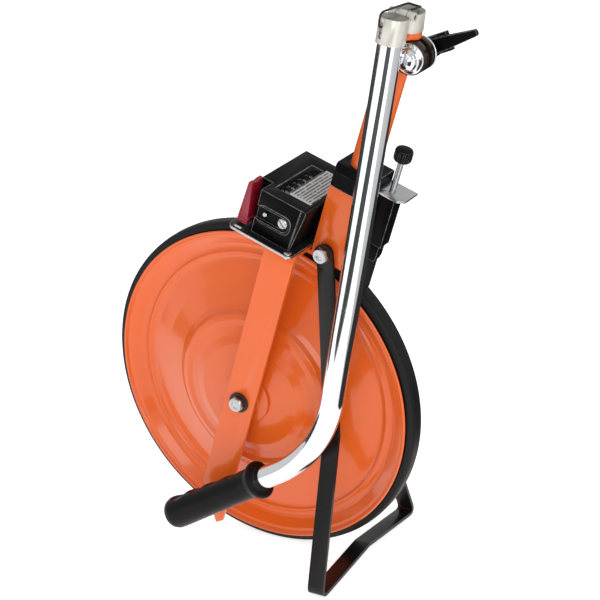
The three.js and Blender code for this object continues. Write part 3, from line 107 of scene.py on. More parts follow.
@dataclass(frozen=True)
class Places:
    """Where each sub-assembly's own frame lies in the part's frame, with millimetres as its unit."""

    lean: float = 21.0
    hinge_lean: float = 11.2
    splay: float = 5.6
    grip_bend: float = 49.7
    lever_slope: float = 41.0
    tilt_forward: float = 50.0
    tilt_rise: float = 367.0
    cam_out: float = 20.55
    stub_offset: float = 8.8
    fold_side: float = 13.5
    fold_rise: float = 36.5
    corner_drop: float = 394.0
    stand_forward: float = 91.0
    stand_height: float = 308.99

    def _hub(self) -> Vector:
        """The wheel's centre in metres, from the tyre's box."""
        low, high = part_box("tyre")
        return (low + high) / 2

    @property
    def wheel(self) -> Matrix:
        """The hub's centre, with the axle along Y."""
        return Matrix.Translation(self._hub()) @ Matrix.Scale(MM, 4)

    @property
    def fork(self) -> Matrix:
        """The hub's centre, leaning with the fork, so that Z runs up the stem."""
        return self.wheel @ turn("Y", self.lean)

    @property
    def clamp(self) -> Matrix:
        """The tilt clamp's axis, leaning with the fork."""
        return self.fork @ shift(self.tilt_forward, 0, self.tilt_rise)

    @property
    def tilt(self) -> Matrix:
        """The tilt clamp's axis, leaning with the stub above it."""
        return self.clamp @ turn("Y", self.hinge_lean - self.lean)

    @property
    def cam(self) -> Matrix:
        """The cam's centre, with X along the cam lever."""
        return self.clamp @ shift(0, self.cam_out, 0) @ turn("Y", -self.lever_slope)

    @property
    def handle(self) -> Matrix:
        """The fold axis, with the handle hanging along -Z."""
        return self.tilt @ shift(-self.stub_offset, -self.fold_side, self.fold_rise) @ turn("X", -self.splay)

    @property
    def grip(self) -> Matrix:
        """The corner of the handle's bend, with the grip along -Z."""
        return self.handle @ shift(0, -self.fold_side, -self.corner_drop) @ turn("Y", self.grip_bend)

    @property
    def stand(self) -> Matrix:
        """The kickstand's bolt."""
        hub = self._hub()
        centre = Vector((hub.x + self.stand_forward * MM, hub.y, self.stand_height * MM))
        return Matrix.Translation(centre) @ Matrix.Scale(MM, 4)


# Shader tools


class Signal:
    """A shader socket that takes part in Python arithmetic."""

    def __init__(self, graph: "Graph", socket: Any) -> None:
        """Wraps an output socket of a graph."""
        self.graph = graph
        self.socket = socket

    def _math(self, operation: str, first: Any, second: Any) -> "Signal":
        """Adds one Math node."""
        return self.graph.node("ShaderNodeMath", {"operation": operation}, {0: first, 1: second})

    def __add__(self, other: Any) -> "Signal":
        """Sum."""
        return self._math("ADD", self, other)

    __radd__ = __add__

    def __rsub__(self, other: Any) -> "Signal":
        """Difference, with the signal taken away."""
        return self._math("SUBTRACT", other, self)

    def __mul__(self, other: Any) -> "Signal":
        """Product."""
        return self._math("MULTIPLY", self, other)

    __rmul__ = __mul__


class Graph:
    """The node tree of one material."""

    def __init__(self, name: str) -> None:
        """Starts a material with an empty tree."""
        self.material = bpy.data.materials.new(name)
        self.material.use_nodes = True
        self.tree = self.material.node_tree
        self.tree.nodes.clear()
        self.coords = self.node("ShaderNodeTexCoord", {}, {}, output="Object")

    def node(self, kind: str, settings: dict[str, Any], inputs: dict[Any, Any], output: Any = 0) -> Signal:
        """Adds a node.

        Args:
            kind: The node's type.
            settings: Its properties; "stops" holds a ramp's positions and colours.
            inputs: Values or signals by socket name or number.
            output: The socket that the result reads.

        Returns:
            The chosen output.
        """
        made = self.tree.nodes.new(kind)
        for key, value in settings.items():
            if key == "stops":
                ramp = made.color_ramp
                while len(ramp.elements) < len(value):
                    ramp.elements.new(0.5)
                for element, (position, colour) in zip(ramp.elements, value):
                    element.position = position
                    element.color = colour
            else:
                setattr(made, key, value)
        for key, value in inputs.items():
            socket = made.inputs[key]
            if isinstance(value, Signal):
                self.tree.links.new(value.socket, socket)
            else:
                socket.default_value = value
        return Signal(self, made.outputs[output])

    def noise(
        self, scale: float, detail: float = 3.0, rough: float = 0.5, stretch: Spot = (1, 1, 1)
    ) -> Signal:
        """Noise over the object's own coordinates.

        Args:
            scale: Cells in a metre.
            detail: Octaves.
            rough: Strength of each next octave.
            stretch: Factors on the three coordinates.

        Returns:
            A value from 0 to 1.
        """
        place = self.node("ShaderNodeMapping", {}, {"Vector": self.coords, "Scale": stretch})
        values = {"Vector": place, "Scale": scale, "Detail": detail, "Roughness": rough}
        return self.node("ShaderNodeTexNoise", {}, values, output="Fac")

    def band(self, value: Signal, low: float, high: float) -> Signal:
        """A smooth step from 0 at low to 1 at high."""
        limits = {"Value": value, "From Min": low, "From Max": high}
        return self.node("ShaderNodeMapRange", {"interpolation_type": "SMOOTHSTEP"}, limits)

    def blend(self, factor: Signal, first: Any, second: Any) -> Signal:
        """A mix of two colours."""
        settings = {"data_type": "RGBA", "clamp_factor": True}
        return self.node("ShaderNodeMix", settings, {0: factor, 6: first, 7: second}, output=2)

    def bump(self, height: Signal, strength: float, depth: float) -> Signal:
        """A bump that feeds a Normal socket."""
        return self.node("ShaderNodeBump", {}, {"Height": height, "Strength": strength, "Distance": depth})

    def edges(self, reach: float) -> Signal:
        """A mask of edges, 1 where the surface turns sharply within reach metres."""
        rounded = self.node("ShaderNodeBevel", {"samples": 4}, {"Radius": reach})
        flat = self.node("ShaderNodeNewGeometry", {}, {}, output="Normal")
        product = {"operation": "DOT_PRODUCT"}
        near = self.node("ShaderNodeVectorMath", product, {0: rounded, 1: flat}, output="Value")
        return self.band(1 - near, 0.02, 0.22)

    def close(self, **sockets: Any) -> Any:
        """Ends the tree in one Principled shader.

        Args:
            **sockets: Its inputs, with underscores for spaces.

        Returns:
            The material.
        """
        values = {key.replace("_", " "): value for key, value in sockets.items()}
        surface = self.node("ShaderNodeBsdfPrincipled", {}, values)
        self.node_output(surface)
        return self.material

    def node_output(self, surface: Signal) -> None:
        """Links a shader to the material's output."""
        end = self.tree.nodes.new("ShaderNodeOutputMaterial")
        self.tree.links.new(surface.socket, end.inputs["Surface"])


# Finishes


@dataclass(frozen=True)
class Enamel:
    """Sprayed and baked paint on sheet steel, with a faint orange-peel surface."""

    name: str
    colour: str
    shade: str
    roughness: float = 0.2
    coat: float = 0.55
    peel: float = 0.00001
    specular: float = 0.5

    def build(self) -> Any:
        """Builds the material."""
        g = Graph(self.name)
        drift = g.band(g.noise(9, 4), 0.3, 0.72)
        dust = g.band(g.noise(60, 6, 0.7), 0.55, 0.8)
        speck = g.band(g.noise(900, 2, 0.6), 0.66, 0.75)
        tone = g.blend(drift * 0.35, linear(self.colour), linear(self.shade))
        tone = g.blend(speck * 0.1, tone, linear("3a2a22"))
        surface = g.noise(700, 2, 0.4)
        return g.close(
            Base_Color=tone,
            Roughness=self.roughness + dust * 0.09 + drift * 0.04,
            Specular_IOR_Level=self.specular,
            Coat_Weight=self.coat,
            Coat_Roughness=0.05,
            Normal=g.bump(surface, 0.15, self.peel),
        )


@dataclass(frozen=True)
class Moulded:
    """Injection-moulded plastic with a fine grain and light edges: a painted highlight along the rounded
    edges, broken up like wear.
    """

    name: str
    colour: str
    rubbed: str
    roughness: float = 0.42
    grain: float = 1400.0
    grain_depth: float = 0.00006
    specular: float = 0.17

    def build(self) -> Any:
        """Builds the material."""
        g = Graph(self.name)
        grain = g.noise(self.grain, 3, 0.6)
        patches = g.band(g.noise(35, 5, 0.65), 0.4, 0.75)
        # Painted highlight: the light edge colour is laid along rounded edges where they would catch the
        # light, broken up by noise like wear.
        edge_mask = g.edges(0.0011) * (0.45 + g.band(g.noise(120, 4, 0.7), 0.35, 0.65) * 0.55)
        tone = g.blend(patches * 0.12, linear(self.colour), linear("2a2a2c"))
        tone = g.blend(edge_mask * 0.75, tone, linear(self.rubbed))
        return g.close(
            Base_Color=tone,
            Roughness=self.roughness + patches * 0.12 + grain * 0.05,
            Specular_IOR_Level=self.specular,
            Normal=g.bump(grain, 0.35, self.grain_depth),
        )


@dataclass(frozen=True)
class Rubber:
    """Tyre rubber, matt with dusty patches and a fine moulded texture."""

    name: str
    colour: str
    dust: str

    def build(self) -> Any:
        """Builds the material."""
        g = Graph(self.name)
        grain = g.noise(1800, 4, 0.7)
        patches = g.band(g.noise(26, 6, 0.7), 0.42, 0.78)
        tone = g.blend(patches * 0.35, linear(self.colour), linear(self.dust))
        return g.close(
            Base_Color=tone,
            Roughness=0.5 + patches * 0.2,
            Specular_IOR_Level=0.22,
            Normal=g.bump(grain, 0.5, 0.0001),
        )


@dataclass(frozen=True)
class Plated:
    """Bright metal: polished chrome, or zinc with a drawn grain and a dull bloom."""

    name: str
    colour: str
    bloom: str
    roughness: float = 0.07
    grain: float = 0.0
    stretch: Spot = (1, 1, 1)
    metallic: float = 1.0

    def build(self) -> Any:
        """Builds the material."""
        g = Graph(self.name)
        cloud = g.band(g.noise(45, 5, 0.65), 0.45, 0.8)
        lines = g.noise(900, 3, 0.7, self.stretch)
        scratch = g.band(g.noise(420, 2, 0.5, (1, 9, 1)), 0.7, 0.78)
        tone = g.blend(cloud * 0.4, linear(self.colour), linear(self.bloom))
        return g.close(
            Base_Color=tone,
            Metallic=self.metallic,
            Roughness=self.roughness + cloud * 0.06 + lines * self.grain + scratch * 0.05,
            Normal=g.bump(lines, 0.12 + self.grain, 0.00004),
        )


@dataclass(frozen=True)
class Cast:
    """Coated die casting: satin, with a sandy skin and rubbed edges."""

    name: str
    colour: str
    rubbed: str

    def build(self) -> Any:
        """Builds the material."""
        g = Graph(self.name)
        skin = g.noise(1100, 4, 0.65)
        cloud = g.band(g.noise(70, 4, 0.6), 0.4, 0.75)
        edge_mask = g.edges(0.0008) * g.band(g.noise(200, 3, 0.6), 0.4, 0.6)
        tone = g.blend(edge_mask * 0.6 + cloud * 0.15, linear(self.colour), linear(self.rubbed))
        return g.close(
            Base_Color=tone,
            Metallic=0.35,
            Roughness=0.28 + cloud * 0.1,
            Normal=g.bump(skin, 0.3, 0.00008),
        )


@dataclass(frozen=True)
class Clear:
    """Thin smoked plastic with a haze of fine scratches."""

    name: str

    def build(self) -> Any:
        """Builds the material."""
        g = Graph(self.name)
        haze = g.band(g.noise(300, 4, 0.7, (1, 6, 1)), 0.55, 0.8)
        return g.close(
            Base_Color=linear("0a0a0b"),
            Roughness=0.08 + haze * 0.1,
            Specular_IOR_Level=0.2,
            Alpha=0.12 + haze * 0.04,
        )


@dataclass(frozen=True)
class Ruled:
    """A grey label ruled with plain dark lines across its width, as if printed but with no words."""

    name: str
    place: Matrix
    pitch: float = 3.0

    def build(self) -> Any:
        """Builds the material."""
        g = Graph(self.name)
        turned = self.place.inverted()
        where = {
            "Vector": g.coords,
            "Location": turned.translation,
            "Rotation": turned.to_euler(),
            "Scale": turned.to_scale(),
        }
        local = g.node("ShaderNodeMapping", {}, where)
        across = g.node("ShaderNodeSeparateXYZ", {}, {0: local}, output="X")
        along = g.node("ShaderNodeSeparateXYZ", {}, {0: local}, output="Y")
        wave = g.node("ShaderNodeMath", {"operation": "SINE"}, {0: across * (math.tau / self.pitch)})
        breaks = g.band(g.noise(330, 2, 0.5), 0.38, 0.44)
        inside = g.band(along, -28.0, -27.6) * (1 - g.band(along, 27.2, 27.6))
        ink = g.band(wave, -0.05, 0.2) * (0.25 + breaks * 0.75) * inside
        faded = g.band(g.noise(90, 4), 0.35, 0.7)
        tone = g.blend(ink * (0.95 - faded * 0.15), linear("b9bab7"), linear("0e0e11"))
        return g.close(Base_Color=tone, Roughness=0.3 + faded * 0.15, Normal=g.bump(faded, 0.05, 0.00002))


class Palette:
    """Every finish of the tool, each built once."""

    FINISHES: dict[str, Any] = {
        "orange": Enamel("orange_enamel", "da5f20", "cc5219", 0.17, 0.36, specular=0.34),
        "stand": Enamel("stand_black_paint", "0f0e0e", "1b1918", 0.26, 0.06, 0.00002, 0.22),
        # The light edge colours of the moulded finishes below are painted highlight along rounded edges,
        # partly wear.
        "black": Moulded("black_plastic", "050506", "c4c4c6", 0.3, specular=0.07),
        "grip": Moulded("grip_plastic", "080809", "6a6a6c", 0.3, 900.0, 0.0001, 0.13),
        "red": Moulded("red_plastic", "860f24", "d0606e", 0.24, specular=0.5),
        "tyre": Rubber("tyre_rubber", "0d0d0d", "242321"),
        "pad": Rubber("brake_rubber", "121212", "2b2a28"),
        "chrome": Plated("chrome_plate", "e6e8ea", "ccced0", 0.06),
        "zinc": Plated("zinc_plate", "b9bbbd", "918d84", 0.2, 0.12, (1, 12, 1)),
        "steel": Plated("plain_steel", "a4a6a8", "7d7b76", 0.3, 0.15, (1, 10, 1)),
        "bronze": Plated("dark_clamp_metal", "4a3c36", "2a2624", 0.22, 0.08, (1, 8, 1), 0.85),
        "oxide": Plated("dark_oxide", "2b2a2a", "45403c", 0.38, 0.1, (6, 1, 1), 0.6),
        "cream": Cast("cream_casting", "cbc8be", "a09d96"),
        "face": Cast("machined_face", "77766f", "93918a"),
        # Near black with white edges for the mounting plate's top faces: the near black is a painted dark
        # reflection on the zinc, and the white edges are painted highlight.
        "sheet": Moulded("plate_painted_reflection_and_highlight", "1c1c1d", "fbfbf8", 0.24, 900.0, 0.00003, 0.4),
        "drum": Enamel("drum_black", "060606", "0c0c0c", 0.5, 0.0, 0.00001, 0.1),
        "clear": Clear("clear_window"),
        "figures": Enamel("white_figures", "f6f5f0", "e6e4dc", 0.4, 0.0, 0.00001),
    }

    def __init__(self) -> None:
        """Starts with nothing built."""
        self._built: dict[str, Any] = {}

    def get(self, name: str) -> Any:
        """The material of a finish, built on first use."""
        if name not in self._built:
            self._built[name] = self.FINISHES[name].build()
        return self._built[name]

    def add(self, name: str, finish: Any) -> None:
        """Adds a finish that depends on a piece's place."""
        self._built[name] = finish.build()


PALETTE = Palette()


# Modelling tools


class Bench:
    """Edit-mode modelling in millimetres, one piece at a time."""

    @staticmethod
    def clear() -> None:
        """Leaves edit mode and deselects everything."""
        if bpy.context.mode != "OBJECT":
            bpy.ops.object.mode_set(mode="OBJECT")
        bpy.ops.object.select_all(action="DESELECT")

    @staticmethod
    def pick(piece: Any) -> None:
        """Makes one object the only selected and active one."""
        Bench.clear()
        piece.select_set(True)
        bpy.context.view_layer.objects.active = piece

    @staticmethod
    def trace(points: Sequence[Spot]) -> Any:
        """Draws a chain of edges, vertex after vertex.

        Args:
            points: The corners in order.

        Returns:
            The new object, still in edit mode with all selected.
        """
        Bench.clear()
        bpy.ops.mesh.primitive_plane_add(size=1)
        bpy.ops.object.mode_set(mode="EDIT")
        bpy.ops.mesh.merge(type="CENTER")
        here = Vector(points[0])
        bpy.ops.transform.translate(value=here)
        for corner in points[1:]:
            step = Vector(corner) - here
            bpy.ops.mesh.extrude_vertices_move(TRANSFORM_OT_translate={"value": step})
            here = Vector(corner)
        bpy.ops.mesh.select_all(action="SELECT")
        return bpy.context.object

    @staticmethod
    def tidy() -> None:
        """Merges doubles and turns the faces of the mesh in edit mode outwards."""
        bpy.ops.mesh.select_all(action="SELECT")
        bpy.ops.mesh.remove_doubles(threshold=0.0005)
        bpy.ops.mesh.normals_make_consistent(inside=False)
        bpy.ops.object.mode_set(mode="OBJECT")

    @staticmethod
    def lathe(points: Sequence[Point], steps: int = 96, axis: Axis = Axis.Y) -> Any:
        """Turns a profile about an axis through the origin.

        Args:
            points: Pairs of radius and distance along the axis.
            steps: Segments in the full turn.
            axis: The axis of the lathe.

        Returns:
            The turned object.
        """
        spread = {
            Axis.X: lambda r, d: (d, 0.0, r),
            Axis.Y: lambda r, d: (r, d, 0.0),
            Axis.Z: lambda r, d: (r, 0.0, d),
        }[axis]
        piece = Bench.trace([spread(r, d) for r, d in points])
        bpy.ops.mesh.spin(steps=steps, angle=math.tau, center=(0, 0, 0), axis=axis.value)
        Bench.tidy()
        return piece

    @staticmethod
    def slab(points: Sequence[Point], low: float, high: float, axis: Axis = Axis.Y) -> Any:
        """Extrudes an outline along an axis.

        Args:
            points: The outline's corners, in the plane square to the axis.
            low: Where the extrusion starts.
            high: Where it ends.
            axis: The direction of the extrusion.

        Returns:
            The closed slab.
        """
        spread = {
            Axis.X: lambda a, b: (low, a, b),
            Axis.Y: lambda a, b: (a, low, b),
            Axis.Z: lambda a, b: (a, b, low),
        }[axis]
        piece = Bench.trace([spread(a, b) for a, b in points])
        bpy.ops.mesh.edge_face_add()
        along = Vector(axis.value) * (high - low)
        bpy.ops.mesh.extrude_region_move(TRANSFORM_OT_translate={"value": along})
        Bench.tidy()
        return piece

    @staticmethod
    def block(low: Spot, high: Spot) -> Any:
        """A box between two corners, drawn as an outline and extruded."""
        (x0, y0, z0), (x1, y1, z1) = low, high
        return Bench.slab([(x0, z0), (x1, z0), (x1, z1), (x0, z1)], y0, y1)

    @staticmethod
    def bar(
        radius: float, low: float, high: float, axis: Axis = Axis.Y, at: Spot = (0, 0, 0), steps: int = 48
    ) -> Any:
        """A round bar, turned from a stepped profile.

        Args:
            radius: Its radius.
            low: Where it starts along the axis.
            high: Where it ends.
            axis: Its direction.
            at: A shift of the whole bar.
            steps: Segments round it.

        Returns:
            The bar.
        """
        piece = Bench.lathe([(0, low), (radius, low), (radius, high), (0, high)], steps, axis)
        Bench.move(piece, Matrix.Translation(Vector(at)))
        return piece

    @staticmethod
    def move(piece: Any, place: Matrix) -> Any:
        """Moves a piece and applies its place to its mesh."""
        Bench.pick(piece)
        piece.matrix_world = place
        bpy.ops.object.transform_apply(location=True, rotation=True, scale=True)
        return piece

    @staticmethod
    def combine(piece: Any, other: Any, way: str) -> Any:
        """Joins, cuts or intersects a piece with another, which is used up.

        Args:
            piece: The piece that stays.
            other: The tool.
            way: UNION, DIFFERENCE or INTERSECT.

        Returns:
            The piece.
        """
        Bench.pick(piece)
        change = piece.modifiers.new("change", "BOOLEAN")
        change.operation = way
        change.object = other
        change.solver = "EXACT"
        bpy.ops.object.modifier_apply(modifier=change.name)
        bpy.data.objects.remove(other)
        return piece

    @staticmethod
    def cut(piece: Any, *tools: Any) -> Any:
        """Cuts away each tool in turn."""
        for tool in tools:
            Bench.combine(piece, tool, "DIFFERENCE")
        return piece

    @staticmethod
    def weld(piece: Any, *others: Any) -> Any:
        """Joins each other shape in turn."""
        for other in others:
            Bench.combine(piece, other, "UNION")
        return piece

    @staticmethod
    def soften(piece: Any, width: float, segments: int = 2, angle: float = 32.0) -> Any:
        """Rounds the sharp edges and shades the rest smooth.

        Args:
            piece: The piece.
            width: The bevel's width in the piece's own unit, or 0 for none.
            segments: Facets across the bevel.
            angle: Edges sharper than this many degrees count.

        Returns:
            The piece.
        """
        Bench.pick(piece)
        if width > 0:
            rounding = piece.modifiers.new("rounding", "BEVEL")
            rounding.width = width
            rounding.segments = segments
            rounding.limit_method = "ANGLE"
            rounding.angle_limit = math.radians(angle)
            rounding.miter_outer = "MITER_ARC"
            bpy.ops.object.modifier_apply(modifier=rounding.name)
        bpy.ops.object.shade_smooth_by_angle(angle=math.radians(angle))
        return piece

    @staticmethod
    def copy_of(node: str) -> Any:
        """A merged copy of a CAD node, in metres, ready to be softened.

        Args:
            node: The CAD node's name.

        Returns:
            The copy.
        """
        Bench.clear()
        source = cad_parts[node]
        piece = source.copy()
        piece.data = source.data.copy()
        for key in list(piece.keys()):
            del piece[key]
        piece.parent = None
        piece.matrix_world = Matrix.Identity(4)
        bpy.context.scene.collection.objects.link(piece)
        Bench.pick(piece)
        bpy.ops.object.mode_set(mode="EDIT")
        bpy.ops.mesh.select_all(action="SELECT")
        bpy.ops.mesh.remove_doubles(threshold=0.000002)
        bpy.ops.mesh.customdata_custom_splitnormals_clear()
        bpy.ops.mesh.dissolve_limited(angle_limit=math.radians(1.0))
        bpy.ops.object.mode_set(mode="OBJECT")
        return piece


def rounded(points: Sequence[Point], radius: float, steps: int = 5, closed: bool = False) -> list[Point]:
    """A bent line with its corners rounded.

    Args:
        points: The corners.
        radius: The radius of each bend, cut down where a side is short.
        steps: Points along each bend.
        closed: Whether the line closes on itself.

    Returns:
        The corners of the rounded line.
    """
    count = len(points)
    made: list[Point] = []
    for i, (x, y) in enumerate(points):
        if not closed and i in (0, count - 1):
            made.append((x, y))
            continue
        here = Vector((x, y))
        before = Vector(points[i - 1]) - here
        after = Vector(points[(i + 1) % count]) - here
        swing = math.pi - before.angle(after)
        if swing < 0.02:
            made.append((x, y))
            continue
        back = min(radius * math.tan(swing / 2), before.length * 0.48, after.length * 0.48)
        start, end = here + before.normalized() * back, here + after.normalized() * back
        for k in range(steps + 1):
            t = k / steps
            spot = start * (1 - t) ** 2 + here * 2 * t * (1 - t) + end * t**2
            made.append((spot.x, spot.y))
    return made


def ribbon(line: Sequence[Point], half: float) -> list[Point]:
    """The outline of a strap whose middle follows a line.

    Args:
        line: The line.
        half: Half the strap's thickness.

    Returns:
        The closed outline's corners.
    """
    left: list[Point] = []
    right: list[Point] = []
    for i, (a, b) in enumerate(line):
        back = Vector(line[max(i - 1, 0)])
        ahead = Vector(line[min(i + 1, len(line) - 1)])
        along = (ahead - back).normalized()
        left.append((a - along.y * half, b + along.x * half))
        right.append((a + along.y * half, b - along.x * half))
    return [*left, *reversed(right)]


def mirrored(points: Sequence[Point]) -> list[Point]:
    """A line and its reflection in the second coordinate, as one loop."""
    return [*points, *[(a, -b) for a, b in reversed(points)]]


@dataclass
class Assembly:
    """Shared work of the sub-assemblies: placing, naming and dressing their pieces."""

    places: Places

    def fit(
        self,
        piece: Any,
        name: str,
        body: str,
        finish: str,
        nodes: Sequence[str] = (),
        slot: str = "",
        place: Matrix | None = None,
        bevel: float = 0.0,
        angle: float = 32.0,
        segments: int = 2,
    ) -> Any:
        """Sets a piece in its place, rounds its edges and dresses it.

        Args:
            piece: The object.
            name: The piece's name.
            body: The CAD body that it rides on.
            finish: The finish's name in the palette.
            nodes: The CAD nodes that it replaces.
            slot: The record's material slot; not used.
            place: Its place, or None where it is there already.
            bevel: The rounding of its edges in metres.
            angle: Edges sharper than this are rounded.
            segments: Facets across each rounding.

        Returns:
            The finished piece.
        """
        if place is not None:
            Bench.move(piece, place)
        Bench.soften(piece, bevel, segments, angle)
        piece.name = name
        piece.data.name = name
        piece.data.materials.clear()
        piece.data.materials.append(PALETTE.get(finish))
        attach(piece, body)
        if nodes:
            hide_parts(*nodes)
        LOG.info("piece %s rides on %s", name, body)
        return piece

    def refit(
        self, node: str, body: str, finish: str, slot: str, bevel: float = 0.0003, angle: float = 32.0
    ) -> Any:
        """Replaces a CAD node by its own softened copy.

        Args:
            node: The CAD node.
            body: Its body.
            finish: The finish's name.
            slot: The record's material slot.
            bevel: The rounding of its edges in metres.
            angle: Edges sharper than this are rounded.

        Returns:
            The finished piece.
        """
        copy = Bench.copy_of(node)
        return self.fit(copy, node + "_dressed", body, finish, [node], slot, None, bevel, angle)

    def face_finish(self, piece: Any, finish: str, up: Vector) -> None:
        """Gives the large faces that look one way a finish of their own.

        Args:
            piece: The piece.
            finish: The finish's name.
            up: The direction that those faces look.
        """
        piece.data.materials.append(PALETTE.get(finish))
        for face in piece.data.polygons:
            if face.normal.dot(up) > 0.97 and face.area > 0.00002:
                face.material_index = 1

    def dress(self, finish: str, *nodes: str) -> None:
        """Gives CAD nodes that keep their shape a finish.

        Args:
            finish: The finish's name.
            *nodes: The CAD nodes.
        """
        for node in nodes:
            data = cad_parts[node].data
            data.materials.clear()
            data.materials.append(PALETTE.get(finish))
            LOG.info("node %s dressed in %s", node, finish)


@dataclass
class Wheel(Assembly):
    """The tyre, the two pressed halves and the hub."""

    # The outer face of one pressed half, from the hub out to the rolled lip.
    FACE: ClassVar[list[Point]] = [
        (14.6, 31.0), (26.0, 31.0), (38.0, 29.4), (50.0, 27.4), (58.0, 24.4), (66.0, 22.2), (71.5, 22.4),
        (76.5, 20.8), (79.5, 17.0), (84.0, 14.2), (103.0, 7.8), (120.0, 2.6), (124.0, 1.5), (126.5, 2.3),
        (129.0, 4.1), (131.5, 2.3), (134.5, 1.5), (138.0, 3.0), (145.6, 8.5), (148.4, 9.3),
        (150.2, 12.0), (151.3, 12.35), (152.6, 11.05), (151.3, 9.75),
    ]

    tyre_radius: float = 159.15
    tyre_half: float = 8.9
    sheet: float = 1.32
    press_bend: float = 2.4
    seat: float = 149.0
    middle: float = 0.2

    def half(self, side: int) -> Any:
        """Turns one pressed half.

        Args:
            side: -1 for the near half, 1 for the far one.

        Returns:
            The half.
        """
        face = rounded(self.FACE, self.press_bend, 4)
        back = [(r, max(y - self.sheet, self.middle)) for r, y in face if r < self.seat]
        loop = [*back, *reversed(face), back[0]]
        return Bench.lathe([(r, y * side) for r, y in loop], 180)

    def tyre(self) -> Any:
        """Turns the tyre with a shallow groove each side of its running band."""
        half, top = self.tyre_half, self.tyre_radius
        side = [
            (140.5, 3.1), (145.5, 6.7), (152.8, half), (154.6, half), (155.4, half - 0.35),
            (156.2, half - 0.3),
            (157.4, half - 0.7), (158.4, half - 1.9), (158.7, half - 2.9), (158.2, half - 3.2),
            (158.25, half - 3.6), (158.9, half - 4.0), (top, 2.4), (top, 0.0),
        ]
        loop = mirrored(side)
        return Bench.lathe([*loop, loop[0]], 240)

    def build(self) -> None:
        """Models and dresses the wheel."""
        place = self.places.wheel
        self.fit(self.tyre(), "tyre_ribbed", "wheel", "tyre", ["tyre"], "tyre", place, 0, 40)
        for side, name in ((-1, "near"), (1, "far")):
            nodes = [name + "_wheel_half"]
            self.fit(self.half(side), name + "_disc", "wheel", "orange", nodes, "orange_paint", place, 0, 50)
        self.refit("hub", "wheel", "orange", "orange_paint", 0.0004)
        self.refit("drive_pulley", "wheel", "black", "black_plastic", 0.0002)
        self.dress("steel", "near_bearing", "far_bearing", "bearing_sleeve")


@dataclass
class Fork(Assembly):
    """The strap fork, the axle and the counter's mounting plate."""

    # Corners that cut the near leg to a point, and the gap that the belt passes through.
    TIP: ClassVar[list[Point]] = [
        (-30, -104), (-15, -104), (9, -140), (15, -134), (30, -134), (30, -170), (-30, -170),
    ]
    BELT_GATE: ClassVar[tuple[Spot, Spot]] = ((-33, 34.6, 150), (-0.5, 40.2, 175))

    half_width: float = 15.0
    outside: float = 43.5
    thick: float = 3.0
    top: float = 168.0
    bend: float = 7.0
    leg_low: float = -150.0
    leg_end: float = -24.0
    eye: float = -9.0
    foot_side: float = 17.6
    foot_front: float = 51.5
    foot_low: float = 160.9
    rib_front: float = 24.5
    bolt_hole: float = 4.25
    clear: float = 60.0

    def strap(self) -> Any:
        """Bends the strap over the wheel and shapes both ends."""
        out, t = self.outside - self.thick / 2, self.thick / 2
        line = [(-out, self.leg_low), (-out, self.top - t), (out, self.top - t), (out, self.leg_end)]
        wide, past = self.half_width, 2 * self.half_width
        piece = Bench.slab(ribbon(rounded(line, self.bend, 6), t), -wide, wide, Axis.X)
        tip = Bench.slab(self.TIP, -self.clear, -past)
        end = Bench.slab([(-past, self.eye), (past, self.eye), (past, -40), (-past, -40)], past, self.clear)
        Bench.cut(piece, tip, end)
        tongue = Bench.bar(wide, self.outside - self.thick, self.outside, Axis.Y, (0, 0, self.eye), 64)
        side, front, under = self.foot_side, self.foot_front, self.foot_low
        foot = Bench.block((-wide, -side, under), (front, side, under + self.thick))
        rib = Bench.block((-wide, -side, under), (self.rib_front, side, self.top))
        Bench.weld(piece, tongue, foot, rib)
        hole = Bench.bar(self.bolt_hole, -self.clear, self.clear)
        gate = Bench.block(*self.BELT_GATE)
        return Bench.cut(piece, hole, gate)

    def hexagon(self, flats: float, low: float, high: float) -> Any:
        """A hexagon head whose corners are turned off at its outer end.

        Args:
            flats: Size across the flats.
            low: The outer end, towards -Y.
            high: The seat.

        Returns:
            The head, centred on Y.
        """
        radius = flats / math.sqrt(3)
        angles = [math.tau * k / 6 for k in range(6)]
        corners = [(radius * math.cos(angle), radius * math.sin(angle)) for angle in angles]
        head = Bench.slab(corners, low, high)
        cone = [(0, low - 1), (flats * 0.42, low - 1), (flats * 0.48, low), (radius + 2, high), (0, high)]
        Bench.combine(head, Bench.lathe(cone, 48), "INTERSECT")
        return head

    def bolt(self, head: float, tip: float) -> Any:
        """A hexagon bolt with a pressed dish in its head.

        Args:
            head: Where the head's seat is, on the near side.
            tip: Where the shank ends, on the far side.

        Returns:
            The bolt, centred on Y.
        """
        top = self.hexagon(13, -head - 5.3, -head)
        collar = Bench.bar(6.2, -head, -head + 0.3)
        shank = Bench.bar(4, -head - 1, tip)
        dish = Bench.lathe([(0, -head - 6), (3.6, -head - 6), (3.1, -head - 4.7), (0, -head - 4.5)], 32)
        Bench.weld(top, collar, shank)
        return Bench.cut(top, dish)

    def build(self) -> None:
        """Models and dresses the fork, its axle and the plate."""
        place = self.places.fork
        strap, bolt = self.strap(), self.bolt(45.9, 53.3)
        self.fit(strap, "fork_strap", "frame", "orange", ["fork"], "orange_paint", place, 0.0005)
        self.fit(bolt, "axle_bolt_hex", "frame", "zinc", ["axle_bolt"], "zinc", place, 0.0003)
        self.refit("near_axle_washer", "frame", "oxide", "dark_steel", 0.0003)
        self.refit("axle_nut", "frame", "zinc", "zinc", 0.0003)
        self.dress("steel", "near_axle_spacer", "far_axle_spacer")
        plate = self.refit("mounting_plate", "frame", "zinc", "zinc", 0.0005)
        # The plate's top faces get a painted dark reflection, with painted highlight along their edges.
        self.face_finish(plate, "sheet", place.to_3x3().col[2].normalized())
        self.refit("plate_screw", "frame", "zinc", "zinc", 0.0002)
        self.dress("pad", "drive_belt")


